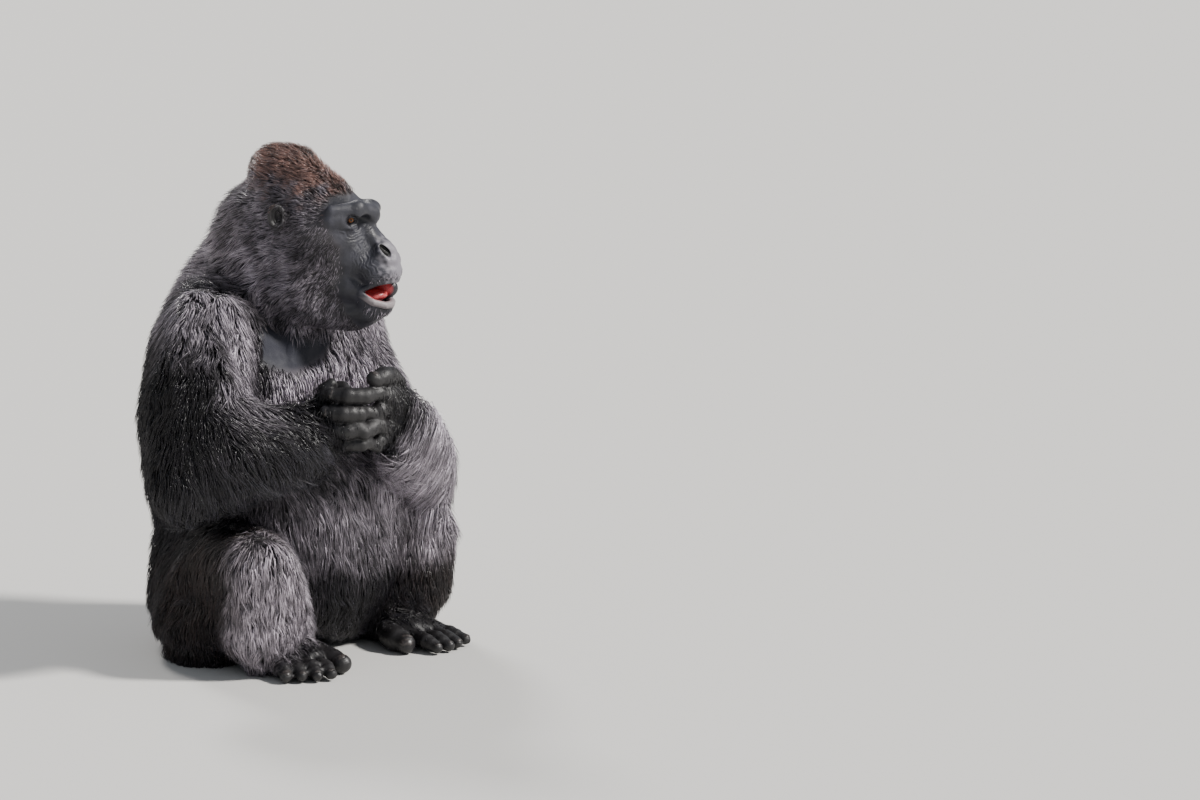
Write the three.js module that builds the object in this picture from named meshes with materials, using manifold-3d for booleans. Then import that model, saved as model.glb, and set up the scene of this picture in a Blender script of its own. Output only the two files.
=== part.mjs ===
// A life-size adult male western lowland gorilla, sitting upright with its knees raised and its
// hands clasped before its chest. Millimetres, +Z up; it faces -Y and its left side is +X.
//
// The body is written as distance fields: each named part is a few eggs and tapered rods, melted
// into its neighbours at the joints. The fields reach to the tips of the coat. A surface is drawn
// round their sum, that solid is parted with thin cuts where one part ends and the next begins,
// and the fingers and toes are lofted round their bones.
import * as THREE from "three";
import { mergeVertices } from "three/addons/utils/BufferGeometryUtils.js";
import { SimplifyModifier } from "three/addons/modifiers/SimplifyModifier.js";
import Module from "manifold-3d";

const wasm = await Module();
wasm.setup();

// ---------------------------------------------------------------- driving sizes
const GAP = 0.4; // clearance of each cut between two parts
const CREASE = 8; // how softly two parts meet where they only touch
const FINE = 8; // mesh step on the face and hands
const MEDIUM = 14; // mesh step on the skull and feet
const COARSE = 28; // mesh step on the trunk and limbs
const WALL = 45; // mesh step of the cuts through the trunk and limbs
const KEPT = 0.06; // share of the corners that is enough for the curves
const FINER = [1, 0.97, 0.94, 0.91, 0.88, 0.85]; // other steps to try when one doesn't close

const EYE_RADIUS = 13;
const HEAD_AT = [0, -158, 918]; // midway between the ears
const HEAD_TURN = 20; // degrees towards its left

// Joints of the skeleton.
const SHOULDER = { left: [165, -100, 666], right: [-224, -90, 672] };
const ELBOW = { left: [292, -222, 310], right: [-404, -196, 400] };
const WRIST = { left: [76, -398, 514], right: [-158, -300, 494] };
const HIP = { left: [114, 40, 142], right: [-114, 24, 142] };
const KNEE = { left: [250, -268, 214], right: [-268, -284, 236] };
const ANKLE = { left: [163, -228, 70], right: [-122, -222, 70] };

const LEFT = 1;
const RIGHT = -1;
const sideName = (side) => (side === LEFT ? "left" : "right");

// ---------------------------------------------------------------- vectors
const add = (a, b) => [a[0] + b[0], a[1] + b[1], a[2] + b[2]];
const sub = (a, b) => [a[0] - b[0], a[1] - b[1], a[2] - b[2]];
const scale = (a, k) => [a[0] * k, a[1] * k, a[2] * k];
const dot = (a, b) => a[0] * b[0] + a[1] * b[1] + a[2] * b[2];
const length = (a) => Math.hypot(a[0], a[1], a[2]);
const unit = (a) => scale(a, 1 / length(a));
const between = (a, b, t) => add(scale(a, 1 - t), scale(b, t));
const cross = (a, b) => [
  a[1] * b[2] - a[2] * b[1],
  a[2] * b[0] - a[0] * b[2],
  a[0] * b[1] - a[1] * b[0],
];
const clamp = (x, lo, hi) => Math.min(hi, Math.max(lo, x));
const radians = THREE.MathUtils.degToRad;

// ---------------------------------------------------------------- fields
// Each is { at(point) -> distance, negative inside; lo, hi: its box }.

function egg(centre, radii, pitch = 0) {
  const c = Math.cos(radians(pitch));
  const s = Math.sin(radians(pitch));
  const reach = Math.max(...radii);
  return {
    lo: centre.map((v) => v - reach),
    hi: centre.map((v) => v + reach),
    at(p) {
      const x = (p[0] - centre[0]) / radii[0];
      const back = p[1] - centre[1];
      const up = p[2] - centre[2];
      const y = (back * c + up * s) / radii[1];
      const z = (up * c - back * s) / radii[2];
      const near = Math.hypot(x, y, z);
      const steep = Math.hypot(x / radii[0], y / radii[1], z / radii[2]);
      return steep < 1e-9 ? -Math.min(...radii) : (near * (near - 1)) / steep;
    },
  };
}

function rod(a, ra, b, rb) {
  const along = sub(b, a);
  const long = dot(along, along);
  const most = Math.max(ra, rb);
  return {
    lo: a.map((v, i) => Math.min(v, b[i]) - most),
    hi: a.map((v, i) => Math.max(v, b[i]) + most),
    at(p) {
      const t = clamp(dot(sub(p, a), along) / long, 0, 1);
      return length(sub(p, between(a, b, t))) - (ra + (rb - ra) * t);
    },
  };
}

function melt(a, b, softness) {
  const h = Math.max(softness - Math.abs(a - b), 0) / softness;
  return Math.min(a, b) - (h * h * softness) / 4;
}

function boxOf(fields) {
  return {
    lo: [0, 1, 2].map((i) => Math.min(...fields.map((f) => f.lo[i]))),
    hi: [0, 1, 2].map((i) => Math.max(...fields.map((f) => f.hi[i]))),
  };
}

function group(softness, ...fields) {
  return {
    ...boxOf(fields),
    at: (p) => fields.reduce((d, f) => melt(d, f.at(p), softness), 1e6),
  };
}

function hollowed(field, softness, ...holes) {
  return {
    ...field,
    at: (p) => holes.reduce((d, h) => -melt(-d, h.at(p), softness), field.at(p)),
  };
}

// A field given for its left half only, in the head's own frame: x to its left, -y forwards.
const headTurn = new THREE.Matrix4()
  .makeTranslation(...HEAD_AT)
  .multiply(new THREE.Matrix4().makeRotationZ(radians(HEAD_TURN)));
const headBack = headTurn.clone().invert();
const toHead = (p) => new THREE.Vector3(...p).applyMatrix4(headBack).toArray();
const fromHead = (p) => new THREE.Vector3(...p).applyMatrix4(headTurn).toArray();

function onHead(field) {
  const corners = [];
  for (const x of [field.hi[0], -field.hi[0]])
    for (const y of [field.lo[1], field.hi[1]])
      for (const z of [field.lo[2], field.hi[2]]) corners.push(fromHead([x, y, z]));
  return {
    ...boxOf(corners.map((c) => ({ lo: c, hi: c }))),
    at(p) {
      const q = toHead(p);
      return field.at([Math.abs(q[0]), q[1], q[2]]);
    },
  };
}

// ---------------------------------------------------------------- the head
function skullField() {
  return group(
    30,
    egg([0, -2, -2], [90, 116, 90]), // brain case
    egg([0, 36, 62], [50, 78, 72]), // crest, with the chewing muscles that it anchors
    rod([0, 56, 98], 35, [0, 3, 97], 34), // top of the crest
    rod([0, 0, 81], 35, [0, -98, 25], 35), // sloping forehead
    egg([58, -20, -70], [48, 76, 92]), // cheek
    egg([48, -4, -150], [52, 74, 62]), // corner of the jaw
  );
}

function muzzleField() {
  return hollowed(
    group(
      16,
      rod([0, -150, -6], 23, [44, -136, -1], 21), // brow ridge
      rod([44, -136, -1], 21, [78, -96, -4], 21),
      egg([0, -96, -74], [72, 68, 82]), // middle of the face
      rod([64, -96, -42], 26, [82, -52, -34], 24), // cheek bone
      egg([0, -146, -102], [51, 64, 40], 10), // upper lip
      rod([0, -204, -124], 17, [36, -172, -126], 15), // its edge
      rod([36, -96, -140], 30, [39, -140, -152], 15), // corner of the mouth
      rod([0, -136, -36], 13, [0, -180, -71], 20), // bridge of the nose
      rod([0, -197, -80], 19, [21, -184, -80], 15), // wings of the nose
    ),
    9,
    egg([34, -150, -10], [20, 30, 13], -12), // eye socket
    egg([14, -206, -70], [7, 12, 6], 40), // nostril
  );
}

function jawField() {
  return group(
    22,
    rod([44, -18, -192], 46, [0, -116, -206], 42), // body of the jaw
    egg([0, -138, -204], [42, 48, 32]), // chin
    rod([0, -193, -192], 16, [38, -156, -172], 13), // lower lip
  );
}

const mouth = egg([0, -194, -157], [54, 48, 19]);

function neckField() {
  return group(
    60,
    rod([0, -70, 790], 110, [0, 10, 690], 144), // front and sides
    rod([0, -38, 886], 79, [0, -2, 700], 94), // nape
  );
}

function earField() {
  return hollowed(
    group(6, egg([104, 12, 4], [13, 17, 25], 12), rod([96, 6, -10], 11, [92, 4, 8], 12)),
    5,
    egg([116, 6, 4], [9, 9, 15], 12),
  );
}

// ---------------------------------------------------------------- the trunk
function chestField() {
  return group(
    60,
    egg([0, -22, 545], [240, 190, 215]), // rib cage
    egg([92, -98, 580], [126, 112, 100]), // breast muscles
    egg([-92, -98, 580], [126, 112, 100]),
    rod([-140, -28, 684], 88, [130, -28, 684], 88), // shoulder girdle
    egg([0, 44, 604], [180, 138, 140]), // upper back
  );
}

function bellyField() {
  return group(
    70,
    egg([10, -84, 292], [234, 244, 222]),
    egg([0, 10, 326], [208, 158, 190]),
    egg([44, -205, 166], [121, 121, 156]), // what hangs down between the legs
  );
}

function rumpField() {
  return group(
    50,
    egg([0, 46, 150], [205, 125, 150]),
    egg([94, 34, 100], [116, 120, 116]), // the seat, flattened by the floor
    egg([-94, 34, 100], [116, 120, 116]),
  );
}

// ---------------------------------------------------------------- the limbs
function upperArmField(side) {
  const top = SHOULDER[sideName(side)];
  const elbow = ELBOW[sideName(side)];
  const girth = { left: 82, right: 114 }[sideName(side)]; // the right one is pressed to the ribs
  return group(
    30,
    egg(add(top, [side * 2, 4, 0]), [106, 106, 114]), // shoulder
    rod(top, (92 + girth) / 2, between(top, elbow, 0.55), girth),
    rod(between(top, elbow, 0.5), girth, elbow, 82),
  );
}

function forearmField(side) {
  const elbow = ELBOW[sideName(side)];
  const wrist = WRIST[sideName(side)];
  const swell = add(between(elbow, wrist, 0.42), [0, 0, 16 - side * 16]);
  const girth = { left: 84, right: 112 }[sideName(side)]; // the right one's coat hangs loose
  return group(
    24,
    rod(elbow, 76, swell, girth),
    rod(swell, girth, wrist, 0.66 * girth),
    rod(add(elbow, [0, 0, -20]), 62, add(wrist, [-side * 40, 0, -64]), 50), // hanging hair
  );
}

function thighField(side) {
  const hip = HIP[sideName(side)];
  const knee = KNEE[sideName(side)];
  return group(
    40,
    rod(hip, 112, between(hip, knee, 0.55), 108),
    rod(between(hip, knee, 0.5), 108, knee, 80),
    rod(between(hip, knee, 0.6), 80, add(between(hip, knee, 0.97), [0, 0, -60]), 70), // underside
    egg([side * 214, -74, 72], [102, 128, 99]), // hamstrings, spread by the floor
  );
}

function lowerLegField(side) {
  const knee = KNEE[sideName(side)];
  const ankle = ANKLE[sideName(side)];
  const calf = between(knee, ankle, 0.45);
  const low = between(knee, ankle, 0.28);
  return group(
    24,
    rod(knee, 78, calf, 84),
    rod(calf, 84, ankle, 60),
    rod(knee, 76, [low[0] + 22 * side, low[1] + 8, 90], 84), // calf, hanging beside the shin
  );
}

// ---------------------------------------------------------------- hands and feet
// A hand's frame: from the wrist to the knuckles, from the little finger's side to the thumb's,
// and out of the palm.
function handFrame(wrist, knuckles, thumbwards) {
  const ahead = unit(sub(knuckles, wrist));
  const up = unit(sub(thumbwards, scale(ahead, dot(thumbwards, ahead))));
  return { wrist, ahead, up, span: length(sub(knuckles, wrist)) };
}

const PALM = {
  left: { ...handFrame(WRIST.left, [-26, -404, 520], [0, 0, 1]), palm: [0, 1, 0] },
  right: { ...handFrame(WRIST.right, [-64, -328, 506], [0, 0, 1]), palm: [0, 1, 0] },
};
for (const hand of Object.values(PALM)) {
  const out = cross(hand.ahead, hand.up);
  hand.palm = dot(out, hand.palm) > 0 ? out : scale(out, -1);
}

const inHand = (hand, ahead, up, palm) =>
  add(
    hand.wrist,
    add(add(scale(hand.ahead, ahead), scale(hand.up, up)), scale(hand.palm, palm)),
  );

function handField(side) {
  const hand = PALM[sideName(side)];
  const far = hand.span - 8;
  return group(
    18,
    rod(inHand(hand, 4, 6, 0), 44, inHand(hand, far * 0.6, 18, 2), 36),
    rod(inHand(hand, 4, -10, 0), 44, inHand(hand, far * 0.6, -22, 2), 35),
    rod(inHand(hand, far * 0.45, 36, 2), 27, inHand(hand, far, 42, 0), 26),
    rod(inHand(hand, far * 0.45, -36, 2), 26, inHand(hand, far, -42, 0), 25),
    rod(inHand(hand, 30, 36, 10), 28, inHand(hand, 55, 52, 12), 22), // ball of the thumb
  );
}

const FINGERS = [
  // name, across the palm, lengths of its three bones, half its width
  { name: "index_finger", across: 50, bones: [56, 38, 27], half: 17 },
  { name: "middle_finger", across: 16, bones: [62, 42, 29], half: 17.3 },
  { name: "ring_finger", across: -18, bones: [59, 40, 28], half: 17 },
  { name: "little_finger", across: -50, bones: [48, 32, 25], half: 15.4 },
];
const CURL = { left: [4, 40, 78], right: [36, 96, 150] }; // degrees from straight, bone by bone
const THUMB = {
  left: [[38, 62, 12], [66, 78, 8], [98, 84, 4], [128, 80, 2]],
  right: [[30, 26, 8], [46, 50, 2], [62, 70, -6], [74, 84, -10]],
};

function fingerBones(side, finger) {
  const hand = PALM[sideName(side)];
  const points = [inHand(hand, hand.span - 16, finger.across, 0)];
  points.push(inHand(hand, hand.span, finger.across, 0));
  finger.bones.forEach((bone, i) => {
    const bend = radians(CURL[sideName(side)][i]);
    const turn = add(scale(hand.ahead, Math.cos(bend)), scale(hand.palm, Math.sin(bend)));
    points.push(add(points.at(-1), scale(turn, bone)));
  });
  return points;
}

const FOOT_TURN = { left: -4, right: -30 }; // degrees, towards its left
const SOLE = 24; // height of the middle of the toes
const inFoot = (side, ahead, out, up) => {
  const turn = radians(FOOT_TURN[sideName(side)]);
  const forwards = [Math.sin(turn), -Math.cos(turn), 0];
  const outwards = scale([Math.cos(turn), Math.sin(turn), 0], side);
  const heel = sub(ANKLE[sideName(side)], scale(forwards, 54));
  const flat = add(add(heel, scale(forwards, ahead)), scale(outwards, out));
  return [flat[0], flat[1], up];
};

function footField(side) {
  return group(
    20,
    rod(inFoot(side, 2, 0, 36), 43, inFoot(side, 90, -4, 42), 42), // heel to instep
    rod(inFoot(side, 80, 20, 32), 36, inFoot(side, 170, 34, 25), 30), // outer edge
    rod(inFoot(side, 80, -18, 36), 36, inFoot(side, 168, -18, 27), 30),
    rod(ANKLE[sideName(side)], 50, inFoot(side, 56, 0, 50), 40),
  );
}

const TOES = [
  // name, where it starts across the sole, lengths of its bones, half its width
  { name: "second_toe", out: -28, bones: [30, 23, 19], half: 13.6 },
  { name: "third_toe", out: 0, bones: [32, 24, 19], half: 13.8 },
  { name: "fourth_toe", out: 28, bones: [30, 22, 18], half: 13.4 },
  { name: "little_toe", out: 55, bones: [26, 20, 16], half: 12.6 },
];

function toeBones(side, toe) {
  const points = [inFoot(side, 160, toe.out, SOLE), inFoot(side, 178, toe.out, SOLE + 3)];
  let reach = 178;
  toe.bones.forEach((bone, i) => {
    reach += bone;
    points.push(inFoot(side, reach, toe.out * (1 + 0.05 * i), SOLE + 1 - 5 * i));
  });
  return points;
}

const bigToeBones = (side) => [
  inFoot(side, 96, -30, 28),
  inFoot(side, 130, -52, 27),
  inFoot(side, 168, -66, 25),
  inFoot(side, 198, -68, 22),
];

// ---------------------------------------------------------------- solids
function solidFrom(geometry) {
  const bare = geometry.clone();
  for (const name of Object.keys(bare.attributes))
    if (name !== "position") bare.deleteAttribute(name);
  const merged = mergeVertices(bare, 1e-4);
  return new wasm.Manifold(
    new wasm.Mesh({
      numProp: 3,
      vertProperties: merged.attributes.position.array,
      triVerts: new Uint32Array(merged.index.array),
    }),
  );
}

function geometryFrom(solid) {
  const mesh = solid.getMesh();
  const geometry = new THREE.BufferGeometry();
  const position = new Float32Array(mesh.numVert * 3);
  for (let i = 0; i < mesh.numVert; i++)
    position.set(mesh.vertProperties.subarray(i * mesh.numProp, i * mesh.numProp + 3), i * 3);
  geometry.setAttribute("position", new THREE.BufferAttribute(position, 3));
  geometry.setIndex(new THREE.BufferAttribute(mesh.triVerts, 1));
  return geometry;
}

// The surface where a field is zero inside a box, as a net with one point in each grid cell
// that the surface crosses, then pulled onto the surface.
function netRound(at, lo, hi, step) {
  const size = lo.map((v, i) => Math.ceil((hi[i] - v) / step) + 3);
  const corner = lo.map((v, i) => (v + hi[i]) / 2 - ((size[i] - 1) * step) / 2);
  const clipped = (p) => Math.max(at(p), ...p.map((v, i) => Math.max(lo[i] - v, v - hi[i])));
  const index = (i, j, k) => (k * size[1] + j) * size[0] + i;
  const place = (i, j, k) => add(corner, scale([i, j, k], step));
  const value = new Float64Array(size[0] * size[1] * size[2]);
  for (let k = 0; k < size[2]; k++)
    for (let j = 0; j < size[1]; j++)
      for (let i = 0; i < size[0]; i++) value[index(i, j, k)] = clipped(place(i, j, k));

  const points = [];
  const cell = new Int32Array(value.length).fill(-1);
  const offsets = [];
  for (let n = 0; n < 8; n++) offsets.push([n & 1, (n >> 1) & 1, n >> 2]);
  const edges = [];
  for (let n = 0; n < 8; n++)
    for (const bit of [1, 2, 4]) if (!(n & bit)) edges.push([n, n | bit]);

  for (let k = 0; k < size[2] - 1; k++)
    for (let j = 0; j < size[1] - 1; j++)
      for (let i = 0; i < size[0] - 1; i++) {
        const v = offsets.map((o) => value[index(i + o[0], j + o[1], k + o[2])]);
        if (v.every((x) => x < 0) || v.every((x) => x >= 0)) continue;
        let sum = [0, 0, 0];
        let count = 0;
        for (const [a, b] of edges) {
          if (v[a] < 0 === v[b] < 0) continue;
          sum = add(sum, between(offsets[a], offsets[b], v[a] / (v[a] - v[b])));
          count++;
        }
        cell[index(i, j, k)] = points.length;
        points.push(add(corner, scale(add([i, j, k], scale(sum, 1 / count)), step)));
      }

  const faces = [];
  const axes = [
    [1, 0, 0],
    [0, 1, 0],
    [0, 0, 1],
  ];
  for (let k = 1; k < size[2] - 1; k++)
    for (let j = 1; j < size[1] - 1; j++)
      for (let i = 1; i < size[0] - 1; i++)
        axes.forEach((axis, n) => {
          const a = value[index(i, j, k)] < 0;
          const b = value[index(i + axis[0], j + axis[1], k + axis[2])] < 0;
          if (a === b) return;
          const u = axes[(n + 1) % 3];
          const w = axes[(n + 2) % 3];
          const quad = [[0, 0], [1, 0], [1, 1], [0, 1]].map(([s, t]) => {
            const back = add(scale(u, s), scale(w, t));
            return cell[index(...sub([i, j, k], back))];
          });
          if (!a) quad.reverse();
          faces.push(quad[0], quad[1], quad[2], quad[0], quad[2], quad[3]);
        });

  const settled = points.map((p) => {
    let q = p;
    for (let turn = 0; turn < 2; turn++) {
      const d = clipped(q);
      const slope = [0, 1, 2].map((n) => clipped(q.map((v, m) => v + (m === n ? 1 : 0))) - d);
      const steep = Math.max(dot(slope, slope), 0.2);
      q = sub(q, scale(slope, clamp(d / steep, -0.2 * step, 0.2 * step)));
    }
    return q;
  });
  const geometry = new THREE.BufferGeometry();
  geometry.setAttribute("position", new THREE.Float32BufferAttribute(settled.flat(), 3));
  geometry.setIndex(faces);
  return geometry;
}

// The net with its flattest edges folded away, down to a share of its corners. Where two sheets
// of a surface meet in one cell it isn't a solid; another grid clears that.
async function solidRound(at, { lo, hi }, step, share = KEPT) {
  for (const finer of FINER) {
    const net = netRound(at, lo, hi, step * finer);
    const corners = net.attributes.position.count;
    for (const kept of [share, 1.2 * share, 1]) {
      try {
        const spare = Math.floor(corners * (1 - kept));
        return solidFrom(await new SimplifyModifier().modify(net, spare));
      } catch (fault) {
        if (!String(fault).includes("manifold")) throw fault;
      }
    }
  }
  throw new Error("no grid closes this surface");
}

// Every face moved outwards by at least the gap. "clean" says that no fold was left behind.
function swollen(solid, by) {
  const geometry = geometryFrom(solid);
  geometry.computeVertexNormals();
  const { position, normal } = geometry.attributes;
  const index = geometry.index.array;
  const stretch = new Float32Array(position.count).fill(1);
  const corner = (attribute, i) => new THREE.Vector3().fromBufferAttribute(attribute, i);
  for (let i = 0; i < index.length; i += 3) {
    const face = [...index.subarray(i, i + 3)];
    const [a, b, c] = face.map((n) => corner(position, n));
    const out = b.sub(a).cross(c.sub(a)).normalize();
    for (const n of face) stretch[n] = Math.min(stretch[n], out.dot(corner(normal, n)));
  }
  for (let n = 0; n < position.count; n++) {
    const step = corner(normal, n).multiplyScalar(by / Math.max(stretch[n], 0.3));
    position.setXYZ(n, ...corner(position, n).add(step));
  }
  const wider = solidFrom(geometry);
  const clean = solid.subtract(wider).volume() < 0.01;
  return { clean, solid: clean ? wider : wider.add(solid) };
}

// The solid round a field, and the same with the gap round it.
async function roomFor(at, box, step, least = KEPT) {
  for (const kept of [least, 1.5 * least, 2.5 * least, 1])
    for (const finer of [...FINER, 0.8, 0.75]) {
      const coarser = kept === 1 ? 2 : 1;
      const room = await solidRound(at, box, step * finer * coarser, kept);
      const wider = swollen(room, GAP);
      if (wider.clean) return { room, wider: wider.solid };
    }
  throw new Error("no grid gives this cut an even gap");
}

const largest = (solid) =>
  solid.decompose().reduce((best, s) => (s.volume() > best.volume() ? s : best));

// Corners closer than a hundredth of a millimetre become one. A solid that then pinches to
// nothing along an edge gives null.
function welded(solid) {
  const geometry = geometryFrom(solid);
  const { array } = geometry.attributes.position;
  for (let i = 0; i < array.length; i++) array[i] = Math.round(array[i] * 50) / 50;
  const merged = mergeVertices(geometry, 1e-3);
  const old = merged.index.array;
  const faces = [];
  for (let i = 0; i < old.length; i += 3) {
    const [a, b, c] = old.subarray(i, i + 3);
    if (a !== b && b !== c && c !== a) faces.push(a, b, c);
  }
  const uses = new Map();
  faces.forEach((a, i) => {
    const b = faces[i % 3 === 2 ? i - 2 : i + 1];
    const edge = Math.min(a, b) * 1e6 + Math.max(a, b);
    uses.set(edge, (uses.get(edge) ?? 0) + 1);
  });
  if ([...uses.values()].some((count) => count !== 2)) return null;
  merged.setIndex(faces);
  return solidFrom(merged);
}

const grown = (box, by) => ({ lo: box.lo.map((v) => v - by), hi: box.hi.map((v) => v + by) });
const meets = (a, b) => [0, 1, 2].every((i) => a.lo[i] < b.hi[i] && b.lo[i] < a.hi[i]);

// A finger or toe: rings round its bones, thicker at the joints, with a round tip. "depth" is
// how much thicker it is than wide, across its flat side.
function digitGeometry(bones, half, depth, flat, sides = 6) {
  const joints = bones.map((b) => new THREE.Vector3(...b));
  const path = new THREE.CatmullRomCurve3(joints, false, "centripetal");
  const rings = Math.round(1.5 * (bones.length - 1));
  const stations = [];
  for (let i = 0; i <= rings; i++) {
    const t = i / rings;
    const knuckle = 0.5 + 0.5 * Math.cos(2 * Math.PI * t * (bones.length - 1));
    stations.push({ t, r: half * (1 - 0.14 * t * t) * (0.94 + 0.06 * knuckle) });
  }
  const points = [];
  const faces = [];
  const start = path.getPoint(0);
  let side = null;
  const ring = (centre, ahead, r) => {
    if (!side) side = new THREE.Vector3(...flat).cross(ahead);
    side.addScaledVector(ahead, -side.dot(ahead)).normalize();
    const up = new THREE.Vector3().crossVectors(ahead, side);
    for (let n = 0; n < sides; n++) {
      const angle = (2 * Math.PI * n) / sides;
      points.push(
        centre
          .clone()
          .addScaledVector(side, r * Math.cos(angle))
          .addScaledVector(up, r * depth * Math.sin(angle)),
      );
    }
  };
  for (const { t, r } of stations) ring(path.getPoint(t), path.getTangent(t), r);
  const ahead = path.getTangent(1);
  const end = path.getPoint(1);
  const tip = stations.at(-1).r;
  for (const turn of [35, 65]) {
    const away = tip * 0.8 * Math.sin(radians(turn));
    ring(end.clone().addScaledVector(ahead, away), ahead, tip * Math.cos(radians(turn)));
  }
  const total = points.length / sides;
  for (let k = 0; k < total - 1; k++)
    for (let n = 0; n < sides; n++) {
      const a = k * sides + n;
      const b = k * sides + ((n + 1) % sides);
      faces.push(a, b, b + sides, a, b + sides, a + sides);
    }
  const root = points.push(start) - 1;
  const top = points.push(end.clone().addScaledVector(ahead, tip * 0.82)) - 1;
  for (let n = 0; n < sides; n++) {
    const m = (n + 1) % sides;
    faces.push(root, m, n, top, (total - 1) * sides + n, (total - 1) * sides + m);
  }
  const geometry = new THREE.BufferGeometry();
  const flatList = points.flatMap((p) => p.toArray());
  geometry.setAttribute("position", new THREE.Float32BufferAttribute(flatList, 3));
  geometry.setIndex(faces);
  return geometry;
}

// ---------------------------------------------------------------- the parts, in order of cutting
// Each part takes the stretch of the body where its own field is the deepest of those after it.
// Within "reach" of "at" it melts into the rest, most softly in the middle of that.
const part = (name, field, step, wall, at, soft, reach, digits) => {
  return { name, field, step, wall, at, soft, reach, digits };
};

const parts = [];
for (const side of [LEFT, RIGHT]) {
  const name = sideName(side);
  const toWrist = WRIST[name];
  const toAnkle = ANKLE[name];
  const fingers = () => keepFingers(side);
  const toes = () => keepToes(side);
  parts.push(part(`hand_${name}`, handField(side), FINE, 22, toWrist, 20, 90, fingers));
  parts.push(part(`foot_${name}`, footField(side), MEDIUM, 30, toAnkle, 26, 110, toes));
}
parts.push(
  part("muzzle", onHead(muzzleField()), FINE, 24, fromHead([0, -90, -60]), 24, 230),
  part("lower_jaw", onHead(jawField()), FINE + 2, 24, fromHead([0, -60, -190]), 30, 130),
  part("head", onHead(skullField()), MEDIUM, 36, fromHead([0, 40, -40]), 46, 260),
);
for (const side of [LEFT, RIGHT]) {
  const name = sideName(side);
  parts.push(
    part(`forearm_${name}`, forearmField(side), COARSE, WALL, ELBOW[name], 40, 130),
    part(`upper_arm_${name}`, upperArmField(side), COARSE, WALL, SHOULDER[name], 80, 230),
    part(`lower_leg_${name}`, lowerLegField(side), COARSE, WALL, KNEE[name], 40, 140),
    part(`thigh_${name}`, thighField(side), COARSE, WALL, HIP[name], 70, 230),
  );
}
parts.push(
  part("neck", neckField(), COARSE, WALL, [0, 20, 740], 90, 330),
  part("chest", chestField(), COARSE, WALL, [0, 0, 440], 110, 400),
  part("belly", bellyField(), COARSE, WALL, [0, 20, 180], 80, 330),
  part("rump", rumpField(), COARSE, WALL, [0, 0, 0], 0, 0),
);

const mouthOnHead = onHead(mouth);
function bodyAt(p) {
  let d = 1e6;
  for (const { field, at, soft, reach } of parts) {
    const near = reach ? clamp(1 - length(sub(p, at)) / reach, 0, 1) : 0;
    const ease = near * near * (3 - 2 * near);
    d = melt(d, field.at(p), CREASE + Math.max(soft - CREASE, 0) * Math.min(1, 2 * ease));
  }
  return -melt(-d, mouthOnHead.at(p), 8);
}

// ---------------------------------------------------------------- cutting
const floorBlock = solidFrom(new THREE.BoxGeometry(3000, 3000, 400).translate(0, 0, -200));
const made = []; // { name, solid, space, box }
const nodes = new Map();

function keep(name, solid, space, box, owner) {
  const clear = made
    .filter((other) => other.name !== owner && meets(other.box, box))
    .reduce((left, other) => left.subtract(other.space), solid);
  const node = welded(largest(clear.subtract(floorBlock)));
  if (!node) return false;
  nodes.set(name, node);
  made.push({ name, space: space.add(swollen(node, GAP / 4).solid), box });
  return true;
}

// Small pieces first: the rest of the body is cut round them.
for (const side of [LEFT, RIGHT]) {
  const centre = fromHead([side * 34, -120, -7]);
  const ball = new THREE.SphereGeometry(EYE_RADIUS, 10, 7).translate(...centre);
  const box = grown({ lo: centre, hi: centre }, EYE_RADIUS + 2);
  const eye = solidFrom(ball);
  keep(`eye_${sideName(side)}`, eye, swollen(eye, GAP).solid, box);
}

const tongueField = onHead(group(10, egg([0, -160, -166], [34, 45, 20], 6)));
{
  const box = grown(tongueField, 4);
  const { room, wider } = await roomFor(tongueField.at, box, 7, 2 * KEPT);
  keep("tongue", room, wider, box);
}

for (const side of [LEFT, RIGHT]) {
  const ear = earField();
  const at = (p) => {
    const q = toHead(p);
    return ear.at([q[0] * side, q[1], q[2]]);
  };
  const centre = fromHead([side * 102, 8, 2]);
  const box = grown({ lo: centre, hi: centre }, 40);
  const { room, wider } = await roomFor(at, box, 5, 2 * KEPT);
  keep(`ear_${sideName(side)}`, room, wider, box);
}

// A digit ends at the surface of the hand or foot that it grows from.
function keepDigit(name, owner, bones, half, depth, flat) {
  const whole = solidFrom(digitGeometry(bones, half, depth, flat));
  const bounds = whole.boundingBox();
  const box = grown({ lo: bounds.min, hi: bounds.max }, 2);
  const outside = whole.subtract(swollen(nodes.get(owner), 2 * GAP).solid);
  keep(name, outside, swollen(whole, GAP).solid, box, owner);
}

function keepFingers(side) {
  const name = sideName(side);
  const hand = PALM[name];
  const palm = `hand_${name}`;
  for (const { name: finger, half, ...rest } of FINGERS)
    keepDigit(`${finger}_${name}`, palm, fingerBones(side, rest), half, 1.12, hand.palm);
  const thumb = THUMB[name].map((p) => inHand(hand, ...p));
  keepDigit(`thumb_${name}`, palm, thumb, 17, 1, hand.palm);
}

function keepToes(side) {
  const name = sideName(side);
  const sole = `foot_${name}`;
  for (const toe of TOES)
    keepDigit(`${toe.name}_${name}`, sole, toeBones(side, toe), toe.half, 1.2, [0, 0, 1]);
  keepDigit(`big_toe_${name}`, sole, bigToeBones(side), 20, 1, [0, 0, 1]);
}

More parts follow.
